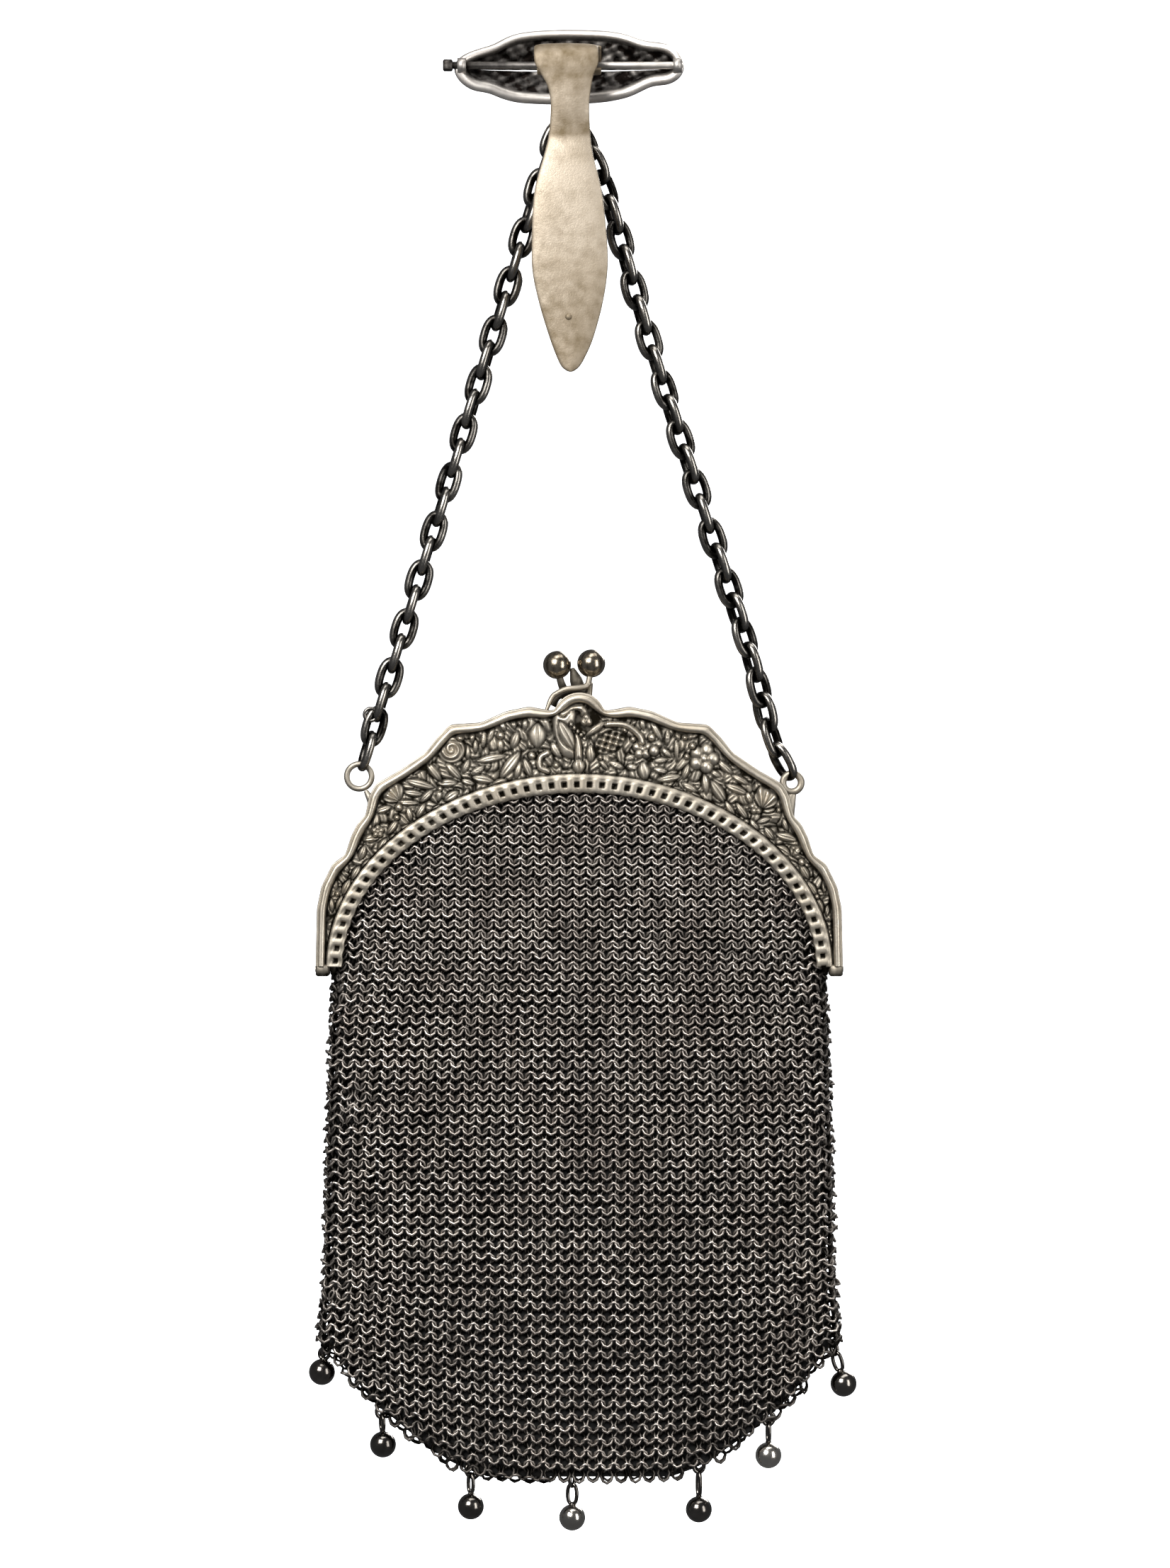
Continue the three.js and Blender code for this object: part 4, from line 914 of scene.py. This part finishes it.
def ring_places(side):
    """Centre, crosswise direction, outward direction and lean of each ring of one side."""
    corner = row_line(bag_corner, side)
    count = int(round(along_line(corner)[-1] / ring_pitch))
    places = []
    for number, level in enumerate(row_heights()):
        line = row_line(max(level, bag_corner), side)
        length = along_line(line)
        share = (np.arange(count + number % 2) + 0.5 * (1 - number % 2)) / count
        x = np.interp(share * length[-1], length, line[:, 0])
        z = level - row_sag(x, level)
        kept = (np.abs(x) < bag_width(z - 0.3)) | (level > bag_corner)
        in_arch = np.hypot(x / (arch_half_width + behind_band), z / (arch_rise + behind_band)) < 1
        kept &= (z < 0) | in_arch
        places.append(np.stack([x, z, np.full_like(x, number % 2)], -1)[kept])
    x, z, odd = np.concatenate(places).T
    y = side * bag_front(x, z)
    step = 0.25
    edge = bag_width(z) * 0.9999
    x0, x1 = np.clip(x - step, -edge, edge), np.clip(x + step, -edge, edge)
    crosswise = unit(np.stack([x1 - x0, side * (bag_front(x1, z) - bag_front(x0, z)), 0 * x], -1))
    upwards = np.stack([0 * x, side * (bag_front(x, z + 1) - bag_front(x, z - 1)), 0 * x + 2], -1)
    outwards = side * unit(np.cross(upwards, crosswise))
    return np.stack([x, y, z], -1), crosswise, outwards, odd


front_places = ring_places(-1)
print("rings on one side:", len(front_places[0]))

# %% [markdown]
# One ring is copied to every place by a matrix of three directions: crosswise, outwards and upwards. A
# small seeded random turn and shift keeps the rows from looking printed, and the rings hang looser near
# the sides. The crest of each ring, which faces outwards, gets a painted highlight, and its sides, down
# between the rings, painted shade. Rings at the hem are darker, and the mesh darkens a little towards
# its top.

# %% One ring, and its copies
ring_tall, ring_wide, ring_wire, ring_lean = 1.62, 1.25, 0.31, 27.0
ring_points, ring_faces = wire(oval(ring_tall, ring_wide, 1.15, 8), ring_wire, 4, (0, 1, 0), True)


def copies(points, faces, centres, axes):
    """point = centre + x * first axis + y * second + z * third, for every copy."""
    placed = np.einsum("pk,nkc->npc", points, axes) + centres[:, None]
    starts = np.arange(len(centres)) * len(points)
    return placed.reshape(-1, 3), [(f[None] + starts[:, None, None]).reshape(-1, f.shape[1]) for f in faces]


def ring_sheet(name, side, seed):
    """Leans each ring by plus or minus the lean about its crosswise direction, and copies it there."""
    centres, crosswise, outwards, odd = ring_places(side)
    shuffle = np.random.default_rng(seed)
    count = len(centres)
    edge = np.abs(centres[:, 0]) / bag_width(centres[:, 2])
    loose = 6 + 7 * np.clip((edge - 0.7) / 0.3, 0, 1)
    lean = np.radians(np.where(odd > 0, 1, -1) * ring_lean + shuffle.normal(0, 1, count) * loose)[:, None]
    swing = np.radians(shuffle.normal(0, 1, count) * loose)[:, None]
    crosswise = unit(crosswise * np.cos(swing) + np.cross(outwards, crosswise) * np.sin(swing))
    upwards = unit(np.cross(crosswise, outwards))
    upwards = upwards * np.sign(upwards[:, 2:])
    tilted_out = outwards * np.cos(lean) + upwards * np.sin(lean)
    tilted_up = upwards * np.cos(lean) - outwards * np.sin(lean)
    axes = np.stack([crosswise, tilted_out, tilted_up], 1)
    centres = centres + shuffle.normal(0, 0.06, (count, 3))
    # Painted highlight on each ring's outward crest, and painted shade on its sides between the rings.
    crest_shading = np.einsum("pk,nkc,nc->np", ring_points, axes, outwards)
    bright = shuffle.normal(0, 0.12, count)[:, None]
    hem = np.clip((bag_width(centres[:, 2] - 2.5) - np.abs(centres[:, 0])) / 1.5, 0.25, 1)[:, None]
    level = np.interp(centres[:, 2], [-100, 40], [1.12, 0.86])[:, None]
    wear_and_shading = np.clip((0.08 + 0.85 * crest_shading + bright) * hem * level, 0.0, 1)
    made = []
    for part, pick in enumerate(np.array_split(np.arange(count), 2)):
        points, faces = copies(ring_points, ring_faces, centres[pick], axes[pick])
        made.append(put_mesh(f"{name}_{part + 1}", points + hinge, faces, wear_and_shading[pick].ravel()))
    return made


ring_sheets = ring_sheet("rings_front", -1, 3) + ring_sheet("rings_back", 1, 4)
for number, piece in enumerate(ring_sheets):
    finish_piece(piece, mesh_silver, "mesh", "purse", *(["mesh_bag"] if number == 0 else []))

# %% [markdown]
# Between the rings of the front one would see those of the back in deep shade. A closed dark sheet just
# inside the rings stands in for that shade at once and at little cost: it is painted shade.

# %% Painted shade inside the bag
shade_sheet_gap, shade_sheet_short = 0.9, 1.2  # behind the rings, and inside their edge
shade_sheet_z = np.linspace(arch_rise + behind_top, bag_bottom + shade_sheet_gap, 90)
shade_sheet_share = np.sin(np.linspace(-np.pi / 2, np.pi / 2, 60))
shade_sheet_rows = []
for z in shade_sheet_z:
    half = bag_width(z) - shade_sheet_short
    if z > 0:
        in_arch = np.sqrt(max(0.0004, 1 - (z / (arch_rise + behind_band)) ** 2))
        half = min(half, (arch_half_width + behind_band) * in_arch)
    x = shade_sheet_share * half
    depth = np.maximum(bag_front(x, np.full_like(x, z)) - shade_sheet_gap, 0.12)
    depth = depth * np.sqrt(1 - shade_sheet_share**2) ** 0.4
    front = np.stack([x, -depth, np.full_like(x, z)], -1)
    back = np.stack([x, depth, np.full_like(x, z)], -1)[::-1]
    shade_sheet_rows.append(np.concatenate([front, back[1:-1]]))
points, faces = skin(np.array(shade_sheet_rows))
painted_shade_sheet = put_mesh("painted_shade_sheet", points + hinge, faces, 0.1)
finish_piece(painted_shade_sheet, painted_shade_dark, "mesh", "purse")

# %% [markdown]
# ## The ball drops
#
# Seven hollow balls hang from the hem on long loops. Each ball stands where its solid stands. A short
# neck joins ball and loop, and a jump ring takes the loop into the mesh.

# %% Balls, loops and jump rings
drop_table = [  # lean outwards in degrees, how light the ball is, and how its loop is turned
    dict(lean=-7, wear_and_shading=0.1, turn=20), dict(lean=2, wear_and_shading=0.1, turn=70), dict(lean=0, wear_and_shading=0.1, turn=60),
    dict(lean=0, wear_and_shading=0.6, turn=25), dict(lean=0, wear_and_shading=0.1, turn=75), dict(lean=0, wear_and_shading=0.8, turn=80),
    dict(lean=15, wear_and_shading=0.15, turn=35),
]
ball_radius, loop_wire = 2.75, 0.42


def make_drop(number, row):
    """A ball with its neck, a long loop, and a round jump ring at the hem."""
    low, high = node_box(f"drop_{number}")
    lean = np.radians(row["lean"])
    centre = np.array([(low[0] + high[0]) / 2, (low[1] + high[1]) / 2, low[2] + ball_radius])
    hem = np.array([centre[0] - np.tan(lean) * (high[2] - centre[2]), centre[1], high[2]])
    up = unit(hem - centre)
    loop_foot = centre + up * (ball_radius + 0.1)
    loop_half = np.linalg.norm(hem - loop_foot) / 2 * 0.72
    turn = np.radians(row["turn"])
    side = unit(np.cross(up, (0, 1, 0))) * np.cos(turn) + np.array([0, 1, 0]) * np.sin(turn)
    facing = np.cross(side, up)
    flat = oval(loop_half, 1.05, 0.85)
    axes = np.stack([side, facing, up])
    loop = flat @ axes + loop_foot + up * loop_half
    turned = np.stack([facing, side, up])
    jump = oval(1.35, 1.15) @ turned + hem - up * 0.7
    neck = centre + up * np.array([[ball_radius - 0.5], [ball_radius + 0.5]])
    parts = [globe(centre, ball_radius, 40, 26), wire(neck, (0.75, 0.5)),
             wire(loop, loop_wire, 10, facing, True), wire(jump, loop_wire, 10, side, True)]
    points, faces = joined(parts)
    wear_and_shading = np.full(len(points), 0.08)
    wear_and_shading[: len(parts[0][0])] = row["wear_and_shading"]
    piece = put_mesh(f"ball_drop_{number}", points, faces, wear_and_shading)
    finish_piece(piece, ball_silver, "drops", "purse", f"drop_{number}")


for number, row in enumerate(drop_table, 1):
    make_drop(number, row)

# %% [markdown]
# ## The chain
#
# Two rings hold the chain behind the tongue. Each run goes from the gathering ring down to an eye of the
# frame. Its links are the same oval, turned a quarter round the run from one to the next.

# %% The rings at the top
chain_wire, link_half_wide, link_count = 0.9, 1.9, 27
top_wire = 0.6
hanging_low, hanging_high = node_box("hanging_ring")
gather_low, gather_high = node_box("gather_ring")
hanging_centre, gather_centre = (hanging_low + hanging_high) / 2, (gather_low + gather_high) / 2
hanging_radius = (hanging_high[2] - hanging_low[2]) / 2 - top_wire
gather_radius = (gather_high[0] - gather_low[0]) / 2 - top_wire
gather_narrow = 2.6  # half width of the gathering ring, which the tongue's neck hides
quarter = np.array([[0.0, 1.0, 0.0], [-1.0, 0.0, 0.0], [0.0, 0.0, 1.0]])
hanging_line = oval(hanging_radius, hanging_radius, count=40) @ quarter + hanging_centre
gather_line = oval(gather_radius, gather_narrow, count=40) + gather_centre
top_rings = [("hanging_ring", hanging_line, (1, 0, 0)), ("gather_ring", gather_line, (0, 1, 0))]
for name, line, across in top_rings:
    points, faces = wire(line, top_wire, 16, across, True)
    piece = put_mesh(name + "_round", points, faces, 0.35)
    finish_piece(piece, chain_silver, "chain", "purse", name)

# %% [markdown]
# A slow twist and a small random turn are added to the quarter turns, as a hanging chain has. The bends
# give a share of the way down and a step aside: both runs start closer together, behind the tongue.

# %% Lay the links along each run
gather_turn = 30.0
runs = {
    "left": dict(side=-1, first=75.0, drift=25.0, bends=[(0.03, 1.6), (0.1, 0.2), (0.5, 0.1)]),
    "right": dict(side=1, first=45.0, drift=30.0,
                  bends=[(0.03, -1.2), (0.14, 0.5), (0.38, -0.4), (0.78, -0.2), (0.88, -0.7),
                         (0.95, -1.2)]),
}


def run_line(name, row):
    """A smooth line from the gathering ring to the eye, through steps aside from the straight way."""
    turn = np.radians(gather_turn)
    start = gather_centre + (row["side"] * gather_narrow * np.sin(turn), 0, -gather_radius * np.cos(turn))
    eye = eyes[name]
    eye_at = np.array(eye["at"]) + hinge
    end = eye_at + unit((start - eye_at) * (1, 0, 1)) * eye["radius"]
    between = [start + (end - start) * share + (aside, 0, 0) for share, aside in row["bends"]]
    return resample(smooth_line([start, *between, end], 400), 2000)


def chain_run(name, row):
    """Link i lies at half a link less the hook, plus i pitches; pitch = link length - 2 wires."""
    line = run_line(name, row)
    length = along_line(line)
    hook, bite = top_wire + chain_wire, 4 * chain_wire
    link_length = (length[-1] + 2 * hook + (link_count - 1) * bite) / link_count
    number = np.arange(link_count)
    at = link_length / 2 - hook + number * (link_length - bite)
    centres = np.stack([np.interp(at, length, line[:, k]) for k in range(3)], -1)
    down = unit(np.stack([np.interp(at, length, np.gradient(line[:, k])) for k in range(3)], -1))
    shuffle = np.random.default_rng(5 + row["side"])
    roll = np.radians(row["first"] + 90 * number + row["drift"] * np.sin(np.pi * number / (link_count - 1))
                      + shuffle.normal(0, 9, link_count))[:, None]
    front = unit(np.array([0, -1.0, 0]) - down * (down @ np.array([0, -1.0, 0]))[:, None])
    facing = front * np.cos(roll) + np.cross(down, front) * np.sin(roll)
    axes = np.stack([np.cross(facing, down), facing, down], 1)
    link = oval(link_length / 2 - chain_wire, link_half_wide, 0.82, 30)
    points, faces = wire(link, chain_wire, 12, (0, 1, 0), True)
    middle = np.hypot(points[:, 0] / link_half_wide, points[:, 2] / (link_length / 2))
    wear_and_shading = np.clip(0.02 + 1.0 * (middle - 0.95), 0.0, 0.7)
    placed, placed_faces = copies(points, faces, centres, axes)
    return placed, placed_faces, np.tile(wear_and_shading, link_count)


for name, row in runs.items():
    points, faces, wear_and_shading = chain_run(name, row)
    piece = put_mesh(f"chain_run_{name}", points, faces, wear_and_shading)
    finish_piece(piece, chain_silver, "chain", "purse", f"chain_{name}")

# %% [markdown]
# A small round ring hangs in the left run near its foot, as if the chain had been mended there.

# %% Mending ring
left_line = run_line("left", runs["left"])
mend_share = (left_line[0, 2] + 138.2) / (left_line[0, 2] - left_line[-1, 2])
mend_at = left_line[int(mend_share * len(left_line))] + np.array([-1.5, -1.3, 0])
points, faces = wire(oval(1.3, 1.3) + mend_at, 0.38, 12, (0, 1, 0), True)
mending_ring = put_mesh("mending_ring", points, faces, 0.3)
finish_piece(mending_ring, chain_silver, "chain", "purse")

# %% [markdown]
# ## The belt hook
#
# The hook's plaque shows its hollow back: a bright rolled rim round a dark, lumpy hollow, whose dark is
# painted shade. A rod crosses the hollow. The plaque is a closed skin of nested outlines: over the rim,
# down into the hollow, and back behind.

# %% Plaque
plaque_outline = np.array([
    (-24.3, -2.9), (-23.3, -1.5), (-21.4, -0.6), (-18.4, 0.3), (-15.9, 0.8), (-13.6, 2.0), (-11.0, 2.8),
    (-7.0, 3.25), (-1.5, 3.45), (4.0, 3.4), (8.5, 3.2), (12.2, 2.6), (15.4, 1.5), (18.0, 1.25),
    (20.8, 0.95), (22.6, -0.1), (24.0, -1.9), (24.2, -3.9), (22.9, -5.6), (20.6, -6.6), (17.4, -6.5),
    (15.2, -7.6), (12.4, -8.8), (8.0, -9.6), (2.0, -10.0), (-5.0, -10.05), (-11.0, -9.8), (-14.4, -9.0),
    (-16.8, -7.9), (-20.2, -7.7), (-22.6, -6.3), (-24.0, -4.6),
])
plaque_middle, taller_above, taller_below = -2.6, 1.28, 1.06
above = plaque_outline[:, 1] - plaque_middle
plaque_outline[:, 1] = np.where(above > 0, taller_above, taller_below) * above + plaque_middle
plaque_length, plaque_bow, rod_y, rod_z = 24.8, 4.4, 4.2, -2.8


def closed_resample(line, count):
    """Evenly spaced points round a closed line, softened a little."""
    longer = np.concatenate([line, line, line])
    dense = soften(resample(longer, 3 * count), 3, 3 * count)
    return dense[count:2 * count]


def closed_inset(line, distance):
    """Each point of a closed line moved inwards across the line."""
    ahead = unit(np.roll(line, -1, 0) - np.roll(line, 1, 0))
    inwards = np.stack([ahead[:, 1], -ahead[:, 0]], -1)
    return line + inwards * distance


plaque_count = 260
plaque_line = closed_resample(plaque_outline, plaque_count)
spine = np.stack([plaque_line[:, 0] * 0.82, np.full(plaque_count, -3.3)], -1)
rim_wide = np.where(plaque_line[:, 1] < -3, 2.6, 2.0)[:, None]
inner_line = closed_inset(plaque_line, rim_wide)
sections = [  # the nested line, how far it goes to the spine, depth behind the rim's plane, how bright: a bright rim, painted shade in the hollow
    (closed_inset(plaque_line, 0.0), 0.0, 0.2, 0.7), (closed_inset(plaque_line, 0.25), 0.0, -0.35, 0.9),
    (closed_inset(plaque_line, 0.4 * rim_wide), 0.0, -0.7, 1.0),
    (closed_inset(plaque_line, 0.65 * rim_wide), 0.0, -0.6, 0.95),
    (closed_inset(plaque_line, 0.85 * rim_wide), 0.0, -0.15, 0.3),
] + [(inner_line, t, 0.6 + 1.2 * np.sin(t * np.pi / 2), 0.05) for t in np.linspace(0, 0.97, 18)]
back_sections = [(closed_inset(plaque_line, 0.4), t, 1.0 + 1.7 * np.sin(t * np.pi / 2), 0.6)
                 for t in np.linspace(0.97, 0.0, 14)]


def lumps(x, z):
    """Soft lumps like the back of pressed ornament: a sum of crossed waves."""
    return (0.5 * np.sin(1.9 * x + 1.3 * np.sin(z)) * np.cos(1.7 * z + 0.8 * np.sin(0.9 * x))
            + 0.35 * np.sin(3.7 * x + 2.1 * z) + 0.25 * np.cos(4.4 * z - 2.6 * x))


# The hollow is painted dark as shade, and lumps that stand out towards the front get painted highlights.
plaque_grid, plaque_shading = [], []
for line, share, deep, wear_and_shading in sections + back_sections:
    flat = line + (spine - line) * share
    bow = plaque_bow * (1 - (flat[:, 0] / plaque_length) ** 2)
    rough_by = 0.3 * np.clip(share * 6, 0, 1) * lumps(0.6 * flat[:, 0], 0.8 * flat[:, 1])
    y = rod_y + bow + deep + rough_by
    plaque_grid.append(np.stack([flat[:, 0], y, flat[:, 1]], -1))
    plaque_shading.append(wear_and_shading + 0.12 * np.clip(-rough_by * 4, -0.4, 1) * (share > 0))
plaque_skin = skin(np.array(plaque_grid), closed=True)
collars = [wire([(x - 0.9, rod_y, rod_z), (x + 0.9, rod_y, rod_z)], 1.55, 20) for x in (-22.4, 22.6)]
points, faces = joined([plaque_skin, *collars])
wear_and_shading = np.concatenate([np.concatenate(plaque_shading), np.full(len(points) - len(plaque_skin[0]), 0.6)])
plaque = put_mesh("plaque", points, faces, np.clip(wear_and_shading, 0, 1))
finish_piece(plaque, plaque_silver, "plaque", "purse", "hook_plaque")

# %% [markdown]
# The rod is drawn wire with a squared knob on its left end. Its ends are rounded by letting the radius
# fall to a small value over the last half millimetre.

# %% Rod
rod_left, rod_right, rod_radius = -25.2, 23.7, 0.75
rod_x = np.array([rod_left, rod_right - 0.5, rod_right - 0.2, rod_right])
rod_line = np.stack([rod_x, np.full(4, rod_y), np.full(4, rod_z)], -1)
rod_skin = wire(rod_line, (rod_radius, rod_radius, rod_radius * 0.85, rod_radius * 0.4), 20, (0, 1, 0))
knob = block((rod_left - 0.1, rod_y, rod_z), (1.0, 1.15, 1.2))
points, faces = joined([rod_skin, knob])
wear_and_shading = np.where(points[:, 0] < rod_left + 0.95, 0.0, 0.9)
rod = put_mesh("rod", points, faces, wear_and_shading)
finish_piece(rod, plaque_silver, "pins", "purse", "hook_rod")

# %% [markdown]
# The tongue is a strap. Its centre line comes over the arch, drops, steps in behind its neck and runs
# down to a point that flares forward. The section is a squared oval with a slight crown. Behind the arch
# the strap parts into two prongs that curl round the rod.

# %% Tongue
tongue_forward, tongue_drop, tongue_flare, tongue_half = 4.6, 67.0, 1.5, 6.75
tongue_thick, tongue_crown = 0.5, 0.28
tongue_rows = np.array([  # forward, down, half width, flare, and the step aside, all as the strap runs
    (-0.22, -0.0062, 0.98, 0, 0), (0.1, -0.0075, 0.98, 0, -0.5), (0.6, -0.002, 0.98, 0, -0.6),
    (0.93, 0.018, 0.99, 0, -0.6), (1.0, 0.05, 0.97, 0, -0.5), (1.0, 0.085, 0.8, 0, -0.3),
    (1.0, 0.125, 0.66, 0, 0.1), (0.97, 0.18, 0.59, 0, 0.2), (0.88, 0.268, 0.64, 0, 0.1),
    (0.93, 0.33, 0.75, 0.1, -0.1), (1.0, 0.45, 1.04, 0.25, -0.2), (1.0, 0.61, 1.16, 0.5, 0.1),
    (1.0, 0.7, 1.14, 0.65, 0.2), (1.0, 0.8, 0.95, 0.8, 0.4), (1.0, 0.9, 0.66, 0.9, 0.5),
    (1.0, 0.955, 0.44, 0.97, 0.4), (1.0, 0.985, 0.28, 1, 0.3), (1.0, 0.998, 0.13, 1, 0.3),
    (1.0, 1.002, 0.03, 1, 0.3),
])


def strap(middle, half, aside, thick, crown, sides=32):
    """point = middle + half * c + (thick * s + crown * (1 - c * c)) * outwards; c and s come from a
    squared circle."""
    a = np.linspace(0, 2 * np.pi, sides, endpoint=False)
    c = np.sign(np.cos(a)) * np.abs(np.cos(a)) ** 0.35
    s = np.sign(np.sin(a)) * np.abs(np.sin(a)) ** 0.7
    ahead = unit(np.gradient(middle, axis=0))
    outwards = np.stack([ahead[:, 1], -ahead[:, 0]], -1)
    lift = thick * s[None] + crown * (1 - c**2)[None] * np.ones((len(middle), 1))
    grid = np.stack([aside[:, None] + half[:, None] * c[None],
                     middle[:, :1] + outwards[:, :1] * lift, middle[:, 1:] + outwards[:, 1:] * lift], -1)
    return skin(grid)


tongue_path = np.stack([-tongue_rows[:, 0] * tongue_forward - tongue_rows[:, 3] * tongue_flare,
                        -tongue_rows[:, 1] * tongue_drop, tongue_rows[:, 2] * tongue_half,
                        tongue_rows[:, 4]], -1)
fine_path = np.stack([smooth_line(tongue_path[:, [k, k, k]], 150)[:, 0] for k in range(4)], -1)
leaf_skin = strap(fine_path[:, :2], np.maximum(fine_path[:, 2], 0.1), fine_path[:, 3],
                  tongue_thick, tongue_crown)
curl_turn = np.radians(np.linspace(-150, 60, 22))
curl = np.stack([rod_y + 1.55 * np.cos(curl_turn), rod_z + 1.55 * np.sin(curl_turn)], -1)
curl = np.concatenate([curl, [(2.9, -0.24), (1.9, 0.22), (1.0, 0.41), (0.6, 0.45)]])
prongs = [strap(curl, np.full(len(curl), 1.95), np.full(len(curl), side * 4.75), tongue_thick, 0.0)
          for side in (-1, 1)]
stud = globe((-0.1, -tongue_forward - tongue_flare * 0.8 - 0.55, -55.8), 0.75, 20, 12)
points, faces = joined([leaf_skin, *prongs, stud])
# Height and how bright: darker at the head; painted shade, darkest just above the step in the neck,
# where the strap bends away; a painted highlight, palest just below it; darker again towards the point.
lit_rows = np.array([(2, 0.3), (-4, 0.2), (-9, 0.5), (-13, 0.62), (-15.5, 0.3), (-17.8, 0.25), (-19, 0.8),
                     (-24, 1.0), (-36, 0.9), (-46, 0.55), (-54, 0.4), (-60, 0.3), (-67, 0.4)])[::-1]
lit = np.interp(points[:, 2], lit_rows[:, 0], lit_rows[:, 1])
tongue = put_mesh("tongue_strap", points, faces, np.clip(lit, 0, 1))
finish_piece(tongue, tongue_silver, "tongue", "tongue", "hook_tongue")

# %% [markdown]
# ## Solids that stay
#
# The two hinge pins are right as they are and need only a finish. Their meshes lack the number that
# the group reads, so the group reads it as 0 for them and would make them dark. So they get a silver of
# their own, whose dark colour is a middling one.

# %% Hinge pins
pin_silver = make_silver("pin_silver", (0.3, 0.27, 0.22), (0.6, 0.55, 0.46), rough_dark=0.4)
for name in ("hinge_pin_left", "hinge_pin_right"):
    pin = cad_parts[name]
    pin.data.materials.clear()
    pin.data.materials.append(pin_silver)

# %% [markdown]
# ## Light
#
# Silver shows the room more than itself. A broad soft lamp stands to each side of the camera, one hangs
# above the purse and one lights its back. The dark space between them gives the contrast that makes
# metal look like metal.

# %% Lamps and sky
lamp_table = [  # name, place in metres, watts, width and height in metres
    ("key", (-0.45, -0.95, 0.42), 20.0, (0.6, 0.6)), ("fill", (0.8, -0.75, -0.05), 6.0, (0.35, 0.9)),
    ("top", (0.15, -0.2, 0.85), 6.0, (1.0, 0.4)), ("back", (0.5, 0.95, 0.35), 12.0, (0.6, 0.6)),
]
aim = np.array([0.0, 0.0, -0.16])
for name, place, watts, size in lamp_table:
    lamp_data = bpy.data.lights.new(name, "AREA")
    lamp_data.shape = "RECTANGLE"
    lamp_data.size, lamp_data.size_y = size
    lamp_data.energy = watts
    lamp = bpy.data.objects.new(name, lamp_data)
    lamp.location = place
    lamp.rotation_euler = Vector(aim - np.array(place)).to_track_quat("-Z", "Y").to_euler()
    bpy.context.scene.collection.objects.link(lamp)

sky = bpy.data.worlds.new("sky")
sky.use_nodes = True
sky.node_tree.nodes["Background"].inputs["Color"].default_value = (0.9, 0.93, 1.0, 1)
sky.node_tree.nodes["Background"].inputs["Strength"].default_value = 0.14
bpy.context.scene.world = sky
print("lamps:", len(lamp_table))
